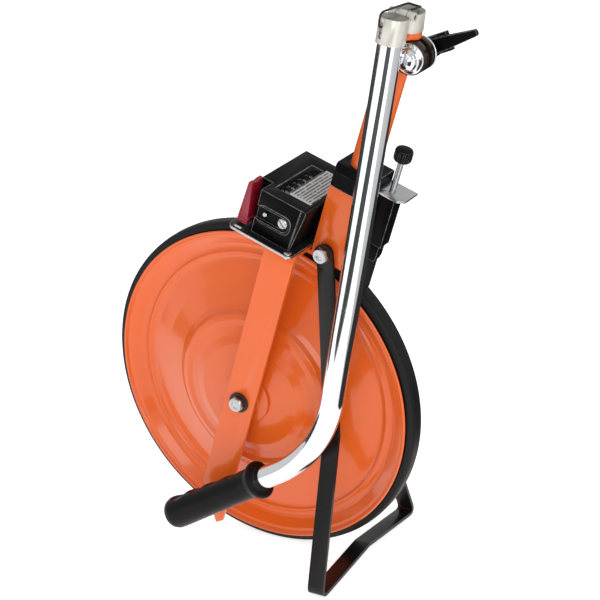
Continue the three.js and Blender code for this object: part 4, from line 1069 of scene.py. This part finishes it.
@dataclass
class Counter(Assembly):
    """The counter's case, window, drums and reset lever."""

    low: float = 170.6
    top: float = 212.8
    rear: float = 43.0
    front_low: float = 8.6
    front_top: float = 15.0
    half: float = 44.5
    wall: float = 2.2
    panel_sink: float = 0.35
    recess_rise: float = 20.6
    recess_half: float = 6.6
    recess_rear: float = -36.0
    recess_front: float = 1.9
    recess_bend: float = 6.4
    screw_forward: float = -4.7
    pin_forward: float = -22.7
    lever_pivot: Point = (-39.4, 7.4)
    lever_hole: float = 1.85
    drum_axis: Point = (-19.2, 199.0)
    drum_radius: float = 9.0
    drum_width: float = 9.2
    drum_pitch: float = 9.8
    drum_near: float = -27.0
    figure_size: float = 6.6
    figure_tilt: float = -60.0
    figure_proud: float = 0.16

    def case(self) -> Any:
        """The moulded case: a tapered box with a notch, a recess, a window and a groove."""
        low, top, rear, wall = self.low, self.top, self.rear, self.wall
        outline = [(-rear, low), (self.front_low, low), (self.front_top, top), (-rear, top)]
        piece = Bench.slab(rounded(outline, wall, 3, True), -self.half, self.half)
        ceiling, behind = top - wall, wall - rear
        inner = [(behind, low - 3), (6.3, low - 3), (12.4, ceiling), (behind, ceiling)]
        core = Bench.slab(inner, wall - self.half, self.half - wall)
        # The corner that the lever fills, and the walls kept round it.
        notch = Bench.block((-60, -60, 160), (-31, -26.5, 230))
        keep = Bench.block((-60, -60, 160), (-31 + wall, -26.5 + wall, 230))
        Bench.cut(core, keep)
        Bench.cut(piece, notch, core)
        seat = Bench.block((-30, -43.4, 181.8), (4.1, -39.1, 200.6))
        Bench.weld(piece, seat)
        recess = Bench.slab(self.recess_line(self.screw_forward), -50, -41.5)
        window = Bench.block((-25, -30.5, 200), (-13.4, 27.5, 230))
        sink = top - self.panel_sink
        sill = Bench.block((-25.6, -31.1, sink), (-12.8, 28.1, 230))
        panel = Bench.block((-11.9, -31.5, sink), (10.7, 30.5, 230))
        groove = Bench.slab([(6.2, 160), (6.9, 160), (11.4, 230), (10.7, 230)], -60, -self.half + 0.7)
        Bench.cut(piece, recess, window, sill, panel, groove, self.pivot_hole())
        return Bench.weld(piece, self.rim())

    def pivot_hole(self) -> Any:
        """The tool that bores the lever's pivot."""
        forward, rise = self.lever_pivot
        return Bench.bar(self.lever_hole, -50, -20, Axis.Y, (forward, 0, self.low + rise), 24)

    def recess_line(self, *stops: float) -> list[Point]:
        """The outline of the side recess.

        Args:
            *stops: Extra corners on both long sides, which tighten the bends in front of them.

        Returns:
            The rounded outline.
        """
        z, tall = self.low + self.recess_rise, self.recess_half
        ahead = [self.recess_rear, *stops, self.recess_front]
        line = [(x, z - tall) for x in ahead] + [(x, z + tall) for x in reversed(ahead)]
        return rounded(line, self.recess_bend, 8, True)

    def rim(self) -> Any:
        """A raised rib round the side recess."""
        z, tall = self.low + self.recess_rise, 8.6
        outer = [(-30.6, z - tall), (4.0, z - tall), (4.0, z + tall), (-30.6, z + tall)]
        piece = Bench.slab(rounded(outer, 8.0, 8, True), -self.half - 0.5, -self.half + 0.6)
        return Bench.cut(piece, Bench.slab(self.recess_line(), -60, -30))

    def lever(self) -> Any:
        """The red reset lever: a tapered wedge with a finger dip at its top."""
        side = [(-47.5, 173.1), (-37.0, 173.1), (-41.2, 213.7), (-44.8, 213.7)]
        piece = Bench.slab(rounded(side, 1.2, 3, True), -44.0, -27.2)
        dip = Bench.bar(7.0, -60, -20, Axis.X, (0, -36.5, 219.2), 40)
        hollow = Bench.slab([(-46.6, 176), (-40.6, 176), (-42.6, 207), (-44.4, 207)], -47.0, -43.2)
        return Bench.cut(piece, dip, hollow, self.pivot_hole())

    def figures(self, index: int) -> Any:
        """Ten figures round one drum, wrapped on its surface.

        Args:
            index: The drum's number from the near side, from 1.

        Returns:
            The figures as one mesh.
        """
        near = self.drum_near + (index - 1) * self.drum_pitch
        radius, made = self.drum_radius, []
        for value in range(10):
            Bench.clear()
            bpy.ops.object.text_add()
            text = bpy.context.object
            text.data.body = str(value)
            text.data.size = self.figure_size
            text.data.align_x = "CENTER"
            text.data.align_y = "CENTER"
            text.data.extrude = 0.05
            text.data.resolution_u = 3
            bpy.ops.object.convert(target="MESH")
            figure = bpy.context.object
            spin = turn("Y", self.figure_tilt - 36.0 * value)
            Bench.move(figure, spin @ shift(0, near + self.drum_width / 2, radius + 0.1) @ turn("Z", 90))
            made.append(figure)
        Bench.clear()
        for figure in made:
            figure.select_set(True)
        bpy.context.view_layer.objects.active = made[0]
        bpy.ops.object.join()
        piece = bpy.context.object
        bpy.ops.object.mode_set(mode="EDIT")
        bpy.ops.mesh.select_all(action="SELECT")
        bpy.ops.mesh.quads_convert_to_tris()
        bpy.ops.mesh.subdivide(number_cuts=3)
        bpy.ops.object.mode_set(mode="OBJECT")
        former = Bench.bar(radius, near, near + self.drum_width, Axis.Y, (0, 0, 0), 96)
        Bench.pick(piece)
        wrap = piece.modifiers.new("wrap", "SHRINKWRAP")
        wrap.target = former
        wrap.wrap_method = "NEAREST_SURFACEPOINT"
        wrap.wrap_mode = "ABOVE_SURFACE"
        wrap.offset = self.figure_proud
        bpy.ops.object.modifier_apply(modifier=wrap.name)
        bpy.data.objects.remove(former)
        return piece

    def build(self) -> None:
        """Models and dresses the counter."""
        place = self.places.fork
        black = "black_plastic"
        case, nodes = self.case(), ["counter_case"]
        self.fit(case, "counter_case_moulded", "frame", "black", nodes, black, place, 0.0006, 30, 3)
        window = Bench.block((-24.7, -30.2, 210.8), (-13.7, 27.2, 212.5))
        nodes = ["counter_window"]
        self.fit(window, "counter_window_pane", "frame", "clear", nodes, "clear_window", place, 0.0003)
        corners = [(-11.4, -31), (10.2, -31), (10.2, 30), (-11.4, 30)]
        label = Bench.slab(rounded(corners, 1.2, 3, True), 213.1, 213.5, Axis.Z)
        PALETTE.add("label", Ruled("ruled_label", place))
        self.fit(label, "label_ruled", "frame", "label", ["label_plate"], "label_film", place, 0.0001)
        lever, body = self.lever(), "reset_lever"
        self.fit(lever, "reset_lever_moulded", body, "red", [body], "red_plastic", place, 0.0006, 30, 3)
        self.refit("lever_pin", "frame", "red", "steel", 0.0002)
        self.screw()
        self.dress("steel", "counter_shaft", "carry_pinions")
        self.refit("counter_pulley", "counter_input", "black", black, 0.0002)
        forward, rise = self.drum_axis
        shaft = place @ shift(forward, 0, rise)
        for index in range(1, 6):
            body = "counter_input" if index == 5 else f"drum_{index}"
            self.refit(f"number_drum_{index}", body, "drum", black, 0.0002)
            self.fit(self.figures(index), f"drum_{index}_figures", body, "figures", (), black, shaft, 0)

    def screw(self) -> None:
        """The slotted cover screw and the pin beside it, both in the side recess."""
        place = self.places.fork
        z = self.low + self.recess_rise
        head = Bench.lathe([(0, -44.1), (3.9, -44.1), (4.8, -43.4), (5.0, -41.8), (0, -41.8)], 48)
        slit = Bench.block((-6, -46, -0.55), (6, -43.2, 0.55))
        Bench.cut(head, slit)
        centre = place @ shift(self.screw_forward, 0, z) @ turn("Y", 35)
        self.fit(head, "cover_screw_slotted", "frame", "zinc", ["cover_screw"], "zinc", centre, 0.0002)
        pin = Bench.lathe([(0, -44.4), (1.5, -44.4), (2.2, -43.7), (2.2, -41.8), (0, -41.8)], 32)
        centre = place @ shift(self.pin_forward, 0, z)
        self.fit(pin, "cover_pin_domed", "frame", "zinc", ["cover_pin"], "zinc", centre, 0.0002)


@dataclass
class Stem(Assembly):
    """The channel, its collar and the round stem tube."""

    # The tube's wall, turned round its axis.
    TUBE: ClassVar[list[Point]] = [(10.6, 182), (12.4, 182), (12.4, 352), (10.6, 352), (10.6, 182)]

    centre: float = 35.0
    collar_rear: float = 16.5
    collar_front: float = 55.0
    collar_half: float = 21.3
    collar_low: float = 234.3
    collar_top: float = 254.5
    collar_wall: float = 2.4
    collar_roof: float = 6.6
    chamfer: float = 6.0
    bore: float = 12.65

    def collar(self) -> Any:
        """The black cap over the channel's end: a hollow box with a chamfered top."""
        rear, front, half = self.collar_rear, self.collar_front, self.collar_half
        low, top, wall, slope = self.collar_low, self.collar_top, self.collar_wall, self.chamfer
        plan = [(rear, -half), (front, -half), (front, half), (rear, half)]
        cap = Bench.slab(rounded(plan, slope, 6, True), low, top, Axis.Z)
        Bench.soften(cap, 0, 1)
        corner = (front - wall, half - wall, top - self.collar_roof)
        hollow = Bench.block((rear + wall, wall - half, low - 4.3), corner)
        bore = Bench.bar(self.bore, 220, 270, Axis.Z, (self.centre, 0, 0), 64)
        shoulder, ridge = top - slope, half - slope
        crown = [(-half, low), (half, low), (half, shoulder), (ridge, top), (-ridge, top), (-half, shoulder)]
        Bench.combine(cap, Bench.slab(crown, 10, 60, Axis.X), "INTERSECT")
        return Bench.cut(cap, hollow, bore)

    def build(self) -> None:
        """Models and dresses the stem."""
        self.refit("stem_channel", "frame", "orange", "orange_paint", 0.0012)
        place, nodes, finish = self.places.fork, ["stem_collar"], "black_plastic"
        self.fit(self.collar(), "stem_collar_moulded", "frame", "black", nodes, finish, place, 0.0012, 28, 3)
        tube = Bench.lathe(self.TUBE, 72, Axis.Z)
        place, nodes = place @ shift(self.centre, 0, 0), ["stem_tube"]
        self.fit(tube, "stem_tube_round", "frame", "orange", nodes, "orange_paint", place, 0.0003)


@dataclass
class Kickstand(Assembly):
    """The strap kickstand and its bolt."""

    # The strap's middle line on one side, from the raised foot up to the bolt.
    RIGHT: ClassVar[list[Point]] = [(0, -298.1), (84.7, -307.2), (35.5, -169), (23, -18), (23, 0)]

    half_width: float = 8.0
    thick: float = 3.0
    leg: float = 23.0
    bend: float = 6.0
    bolt_hole: float = 4.25
    clear: float = 90.0

    def strap(self) -> Any:
        """Bends one strap into two legs and a raised foot."""
        line = rounded([(-y, z) for y, z in reversed(self.RIGHT)] + self.RIGHT[1:], self.bend, 6)
        wide = self.half_width
        piece = Bench.slab(ribbon(line, self.thick / 2), -wide, wide, Axis.X)
        inside, outside = self.leg - self.thick / 2, self.leg + self.thick / 2
        for low, high in ((-outside, -inside), (inside, outside)):
            Bench.weld(piece, Bench.bar(wide, low, high))
        return Bench.cut(piece, Bench.bar(self.bolt_hole, -self.clear, self.clear))

    def build(self) -> None:
        """Models and dresses the kickstand."""
        stand = self.places.stand
        strap, nodes = self.strap(), ["kickstand"]
        self.fit(strap, "kickstand_strap", "kickstand", "stand", nodes, "black_paint", stand, 0.0004)
        bolt = Fork(self.places).bolt(26.7, 34.3)
        lean = stand @ turn("Y", self.places.lean)
        self.fit(bolt, "stand_bolt_hex", "frame", "zinc", ["stand_bolt"], "zinc", lean, 0.0003)
        self.refit("stand_washer", "frame", "oxide", "dark_steel", 0.0003)
        self.refit("stand_nut", "frame", "zinc", "zinc", 0.0003)


@dataclass
class Brake(Assembly):
    """The push brake in front of the stem."""

    KNOB: ClassVar[list[Point]] = [
        (0, 275), (6.6, 275), (7.6, 276.2), (7.9, 278), (7.9, 283.8), (7.2, 285.6), (5.2, 286.4), (0, 286.5),
    ]

    forward: float = 65.2
    flutes: int = 12
    flute_radius: float = 1.1
    flute_centre: float = 8.5

    def knob(self) -> Any:
        """A fluted knob with a domed top."""
        piece = Bench.lathe(self.KNOB, 72, Axis.Z)
        for k in range(self.flutes):
            angle = math.tau * k / self.flutes
            spot = (self.flute_centre * math.cos(angle), self.flute_centre * math.sin(angle), 0)
            Bench.cut(piece, Bench.bar(self.flute_radius, 270, 290, Axis.Z, spot, 16))
        return piece

    def build(self) -> None:
        """Models and dresses the brake."""
        self.refit("brake_bracket", "frame", "zinc", "zinc", 0.0004)
        self.refit("brake_housing", "frame", "black", "black_plastic", 0.001)
        self.refit("brake_shoe", "brake", "black", "black_plastic", 0.0008)
        self.refit("brake_pad", "brake", "pad", "rubber", 0.0008)
        self.refit("brake_rod", "brake", "zinc", "zinc", 0.0002)
        place, nodes = self.places.fork @ shift(self.forward, 0, 0), ["brake_knob"]
        self.fit(self.knob(), "brake_knob_fluted", "brake", "black", nodes, "black_plastic", place, 0.0003)
        self.dress("steel", "brake_spring")


@dataclass
class TiltClamp(Assembly):
    """The quick-release clamp between the stem and the hinge."""

    CAP: ClassVar[list[Point]] = [
        (3.3, -9.7), (13.0, -9.7), (13.2, -10.2), (12.9, -11.2), (12.0, -11.6), (9.8, -11.9), (9.6, -12.6),
        (9.4, -14.6), (8.6, -16.9), (6.6, -18.7), (3.6, -19.4), (0, -19.5),
    ]
    RING: ClassVar[list[Point]] = [
        (3.3, 8.3), (13.6, 8.3), (14.4, 9.0), (14.4, 9.8), (13.6, 10.3), (3.3, 10.3),
    ]
    BARREL: ClassVar[list[Point]] = [(0, -8.2), (8.0, -8.2), (8.8, -7.4), (8.8, 7.4), (8.0, 8.2), (0, 8.2)]
    # The cam lever's blade from its wide side and from its thin one.
    BLADE: ClassVar[list[Point]] = [
        (0, -6.2), (18, -5.6), (44, -3.1), (49, -2.8), (49, 2.8), (44, 3.1), (18, 5.6), (0, 6.2),
    ]
    TAPER: ClassVar[list[Point]] = [(-2, -3.2), (14, -3.3), (49.5, -1.7), (49.5, 1.7), (14, 3.3), (-2, 3.2)]

    bolt_slot: float = 3.25
    pin_hole: float = 1.85
    past: float = 12.0

    def cap(self) -> Any:
        """The domed cap nut with a rolled flange."""
        return Bench.lathe([*rounded(self.CAP, 1.5, 4), (0, -17.0), (3.3, -16.8), self.CAP[0]], 64)

    def arm(self) -> Any:
        """The cam lever: a barrel with a tapered arm."""
        barrel = Bench.lathe(self.BARREL, 56, Axis.Z)
        blade = Bench.slab(rounded(self.BLADE, 2.5, 3, True), -3.4, 3.4)
        Bench.combine(blade, Bench.slab(self.TAPER, -10, 10, Axis.Z), "INTERSECT")
        root = Bench.block((0, 3.4, -8.1), (19, 8.7, 8.1))
        Bench.weld(barrel, root, blade)
        slot, past = self.bolt_slot, self.past
        way = Bench.block((-past, -past, -slot), (slot, slot, slot))
        pin = Bench.bar(self.pin_hole, -past, past, Axis.Z, (0, 0, 0), 24)
        return Bench.cut(barrel, way, pin)

    def build(self) -> None:
        """Models and dresses the clamp."""
        pivot = self.places.clamp
        self.fit(self.cap(), "cap_nut_domed", "frame", "chrome", ["cap_nut"], "chrome", pivot, 0)
        ring = Bench.lathe([*rounded(self.RING, 0.6, 3), self.RING[0]], 64)
        self.fit(ring, "clamp_ring_chrome", "frame", "chrome", ["clamp_ring"], "chrome", pivot, 0)
        self.refit("lower_knuckle", "frame", "bronze", "dark_steel", 0.0006)
        self.refit("upper_knuckle", "mast", "bronze", "dark_steel", 0.0005)
        self.refit("stub_tube", "mast", "orange", "orange_paint", 0.0004)
        self.refit("clamp_bolt", "frame", "zinc", "zinc", 0.0002)
        self.refit("cam_seat", "frame", "black", "black_plastic", 0.0004)
        arm, nodes, place = self.arm(), ["cam_lever"], self.places.cam
        self.fit(arm, "cam_lever_arm", "cam_lever", "black", nodes, "black_plastic", place, 0.0006)


@dataclass
class Handle(Assembly):
    """The hinge halves, the latch wire, the handle tube and the grip."""

    GRIP: ClassVar[list[Point]] = [
        (0, -75), (15.4, -75), (17.2, -76.2), (17.4, -78), (17.2, -80), (15.2, -82.5), (14.0, -86),
        (13.6, -94), (13.8, -122), (14.4, -150), (15.0, -176), (14.9, -183), (13.4, -187.6), (9.5, -189.6),
        (0, -190),
    ]
    # The latch wire's middle line, from its hook over the far half back to its end.
    WIRE: ClassVar[list[Spot]] = [
        (-5, -22.6, -8), (-5, -25.0, -7.9), (-5, -27.4, -6.85), (-5, -28.3, -4), (-5, -28.55, 0),
        (-5, -27.6, 3.2), (-5, -25.2, 4.6), (-5, -20, 4.8), (-5, 0, 4.8), (-5, 16, 4.8), (-4.2, 19.0, 4.3),
        (-2.2, 20.2, 3.7), (0.7, 20.5, 3.6), (3.6, 20.2, 3.7), (5.6, 19.0, 4.3), (6.4, 16, 4.8),
        (6.4, 2, 4.8),
    ]

    tube_radius: float = 10.3
    tube_wall: float = 1.6
    tube_top: float = -14.0
    corner: float = 394.0
    bend: float = 119.0
    angle: float = 49.7
    reach: float = 174.0
    grip_bore: float = 10.55
    grip_bend: float = 2.5
    fingers: int = 4
    finger_radius: float = 18.0
    finger_depth: float = 1.7
    finger_first: float = -92.0
    finger_pitch: float = 22.5
    waist: float = 13.6
    wire_radius: float = 0.9

    def tube(self) -> Any:
        """Draws the tube down, round its bend and into the grip."""
        Bench.clear()
        bent = math.radians(self.angle)
        back = self.bend * math.tan(bent / 2)
        bpy.ops.mesh.primitive_circle_add(vertices=64, radius=self.tube_radius)
        bpy.ops.object.mode_set(mode="EDIT")
        bpy.ops.mesh.select_all(action="SELECT")
        bpy.ops.transform.translate(value=(0, 0, self.tube_top))
        drop = -(self.corner - back) - self.tube_top
        bpy.ops.mesh.extrude_region_move(TRANSFORM_OT_translate={"value": (0, 0, drop)})
        bpy.ops.mesh.spin(
            steps=32,
            angle=-bent,
            center=(-self.bend, 0, -self.corner + back),
            axis=(0, 1, 0),
        )
        ahead = Vector((-math.sin(bent), 0, -math.cos(bent))) * (self.reach - back)
        bpy.ops.mesh.extrude_region_move(TRANSFORM_OT_translate={"value": ahead})
        bpy.ops.mesh.select_all(action="SELECT")
        bpy.ops.mesh.remove_doubles(threshold=0.0005)
        bpy.ops.mesh.normals_make_consistent(inside=False)
        bpy.ops.object.mode_set(mode="OBJECT")
        piece = bpy.context.object
        wall = piece.modifiers.new("wall", "SOLIDIFY")
        wall.thickness = self.tube_wall
        wall.offset = -1
        Bench.pick(piece)
        bpy.ops.object.modifier_apply(modifier=wall.name)
        return piece

    def grip(self) -> Any:
        """The grip with its flange, a swelling body, finger hollows and ribs."""
        piece = Bench.lathe(rounded(self.GRIP, self.grip_bend, 4), 72, Axis.Z)
        ahead = self.finger_depth - self.waist - self.finger_radius
        for k in range(self.fingers):
            z = self.finger_first - self.finger_pitch * (k + 0.5)
            Bench.cut(piece, Bench.bar(self.finger_radius, -40, 40, Axis.Y, (ahead, 0, z), 96))
        bore = Bench.bar(self.grip_bore, -178, -65, Axis.Z, (0, 0, 0), 64)
        return Bench.cut(piece, bore)

    def wire(self) -> Any:
        """The latch wire, bent from round spring wire."""
        Bench.clear()
        curve = bpy.data.curves.new("latch_wire_line", "CURVE")
        curve.dimensions = "3D"
        line = curve.splines.new("NURBS")
        line.points.add(len(self.WIRE) - 1)
        for point, (x, y, z) in zip(line.points, self.WIRE):
            point.co = (x, y, z, 1)
        line.use_endpoint_u = True
        line.order_u = 3
        line.resolution_u = 6
        curve.bevel_depth = self.wire_radius
        curve.bevel_resolution = 4
        curve.use_fill_caps = True
        wire = bpy.data.objects.new("latch_wire_line", curve)
        bpy.context.scene.collection.objects.link(wire)
        Bench.pick(wire)
        bpy.ops.object.convert(target="MESH")
        return bpy.context.object

    def build(self) -> None:
        """Models and dresses the handle."""
        up = self.places.handle.to_3x3().col[2].normalized()
        for node, body in (("far_hinge_half", "mast"), ("near_hinge_half", "handle")):
            half = self.refit(node, body, "cream", "cream_casting", 0.0007, 25)
            self.face_finish(half, "face", up)
        self.refit("hinge_pin", "mast", "steel", "steel", 0.0002)
        handle = self.places.handle
        wire, nodes = self.wire(), ["latch_wire"]
        self.fit(wire, "latch_wire_bent", "latch", "oxide", nodes, "dark_steel", handle, 0, 60)
        axis = handle @ shift(0, -self.places.fold_side, 0)
        self.fit(self.tube(), "handle_tube_bent", "handle", "chrome", ["handle_tube"], "chrome", axis, 0, 50)
        grip, place = self.grip(), self.places.grip
        self.fit(grip, "grip_moulded", "handle", "grip", ["grip"], "black_plastic", place, 0.0008, 28, 3)


@dataclass
class Studio:
    """The floor, the lights, the cards that the chrome mirrors and the camera."""

    # Each card's tone and corners: an azimuth in degrees from the camera's and a distance in metres.
    CARDS: ClassVar[dict[str, tuple[str, list[Point]]]] = {
        "front_card": ("282828", [
            (-29, 9), (-29, 2.2), (-40, 1.8), (-52, 1.3), (-64, 1.0), (-50, 0.8), (-30, 0.76), (-8, 0.8),
            (2, 1.05), (8, 1.35), (10, 9),
        ]),
        "left_card": ("1c1c1c", [
            (-180, 0.75), (-180, 9), (-140, 9), (-92, 9), (-97, 2.0), (-104, 0.85), (-140, 0.75),
        ]),
        "right_card": ("1c1c1c", [
            (180, 0.3), (180, 9), (140, 9), (105, 9), (108, 1.0), (83, 0.7), (70, 0.55), (58, 0.47),
            (44, 0.41), (40, 0.33), (90, 0.25), (140, 0.25),
        ]),
        "grey_card": ("dadada", [
            (36, 0.3), (36, 9), (105, 9), (108, 1.0), (83, 0.7), (70, 0.55), (58, 0.47), (44, 0.41),
        ]),
    }
    # Each soft box: its place, the point that it faces, its size in metres and its power in watts.
    LIGHTS: ClassVar[dict[str, tuple[Spot, Spot, Point, float]]] = {
        "key_box": ((1.1, -2.2, 0.9), (0, 0, 0.2), (1.4, 1.2), 15),
        "side_box": ((2.2, -0.9, 1.0), (0, 0, 0.25), (0.7, 1.6), 10),
    }

    azimuth: float = 34.01
    elevation: float = 23.17
    roll: float = -5.13
    distance: float = 1.6656
    focal_pixels: float = 1879.8
    frame_pixels: float = 600.0
    sensor: float = 36.0
    target: Spot = (0.0461, 0.0, 0.2489)
    floor_size: float = 60.0
    floor_glow: float = 0.7
    surround_glow: float = 0.72
    card_height: float = 0.001

    def camera(self, origin: Vector) -> None:
        """Sets the camera at the photograph's viewing angle.

        Args:
            origin: The ground point under the hub.
        """
        a, e, roll = (math.radians(v) for v in (self.azimuth, self.elevation, self.roll))
        back = Vector((math.sin(a) * math.cos(e), -math.cos(a) * math.cos(e), math.sin(e)))
        level = Vector((math.cos(a), math.sin(a), 0))
        rise = back.cross(level)
        right = level * math.cos(roll) + rise * math.sin(roll)
        up = rise * math.cos(roll) - level * math.sin(roll)
        place = Matrix((right, up, back)).transposed().to_4x4()
        place.translation = origin + Vector(self.target) + back * self.distance
        data = bpy.data.cameras.new("photo_camera")
        data.sensor_width = self.sensor
        data.lens = self.focal_pixels / self.frame_pixels * self.sensor
        data.clip_start, data.clip_end = 0.05, 50
        camera = bpy.data.objects.new("photo_camera", data)
        bpy.context.scene.collection.objects.link(camera)
        camera.matrix_world = place
        bpy.context.scene.camera = camera

    def floor(self) -> None:
        """A pale floor that reaches far behind the part."""
        Bench.clear()
        bpy.ops.mesh.primitive_plane_add(size=self.floor_size, location=(0, 0, 0))
        floor = bpy.context.object
        floor.name = "floor"
        g = Graph("pale_floor")
        cloud = g.noise(2, 3)
        tone = g.blend(cloud, linear("fbfbfb"), linear("f4f4f4"))
        floor.data.materials.append(
            g.close(Base_Color=tone, Roughness=0.9, Emission_Color=tone, Emission_Strength=self.floor_glow)
        )

    def light(self, name: str, where: Spot, at: Spot, size: Point, power: float) -> None:
        """Adds one soft box.

        Args:
            name: Its name.
            where: Its place.
            at: The point that it faces.
            size: Its width and height.
            power: Its strength in watts.
        """
        data = bpy.data.lights.new(name, "AREA")
        data.shape = "RECTANGLE"
        data.size, data.size_y = size
        data.energy = power
        lamp = bpy.data.objects.new(name, data)
        bpy.context.scene.collection.objects.link(lamp)
        aim = Vector(at) - Vector(where)
        lamp.location = where
        lamp.rotation_mode = "QUATERNION"
        lamp.rotation_quaternion = aim.to_track_quat("-Z", "Y")

    def card(self, name: str, outline: Sequence[Point], tone: str) -> None:
        """Lays a card near the floor that only mirror reflections see.

        Args:
            name: Its name.
            outline: Its corners, each an azimuth in degrees from the camera's and a distance in metres.
            tone: Its colour.
        """
        corners = []
        for turned, distance in outline:
            angle = math.radians(self.azimuth + turned)
            corners.append((distance * math.sin(angle), -distance * math.cos(angle), self.card_height))
        card = Bench.trace(corners)
        bpy.ops.mesh.edge_face_add()
        bpy.ops.object.mode_set(mode="OBJECT")
        Bench.move(card, Matrix.Identity(4))
        card.name = name
        g = Graph(name + "_tone")
        speck = g.noise(30, 2)
        card.data.materials.append(g.close(Base_Color=linear(tone), Roughness=0.8 + speck * 0.1))
        card.visible_camera = False
        card.visible_shadow = False
        card.visible_diffuse = False

    def world(self) -> None:
        """An even white surround."""
        world = bpy.data.worlds.new("studio_white")
        bpy.context.scene.world = world
        world.use_nodes = True
        surround = world.node_tree.nodes["Background"]
        surround.inputs["Color"].default_value = (1, 1, 1, 1)
        surround.inputs["Strength"].default_value = self.surround_glow
        bpy.context.scene.view_settings.view_transform = "Standard"
        bpy.context.scene.view_settings.look = "None"

    def build(self) -> None:
        """Sets the studio up."""
        low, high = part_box("tyre")
        centre = (low + high) / 2
        self.camera(Vector((centre.x, centre.y, 0)))
        self.floor()
        self.world()
        for name, (where, at, size, power) in self.LIGHTS.items():
            self.light(name, where, at, size, power)
        for name, (tone, outline) in self.CARDS.items():
            self.card(name, outline, tone)


def main() -> None:
    """Builds every sub-assembly in order."""
    places = Places()
    Studio().build()
    for assembly in (Wheel, Fork, Counter, Stem, Kickstand, Brake, TiltClamp, Handle):
        LOG.info("building %s", assembly.__name__)
        assembly(places).build()
    Bench.clear()
    bpy.context.view_layer.update()


if __name__ == "__main__":
    main()
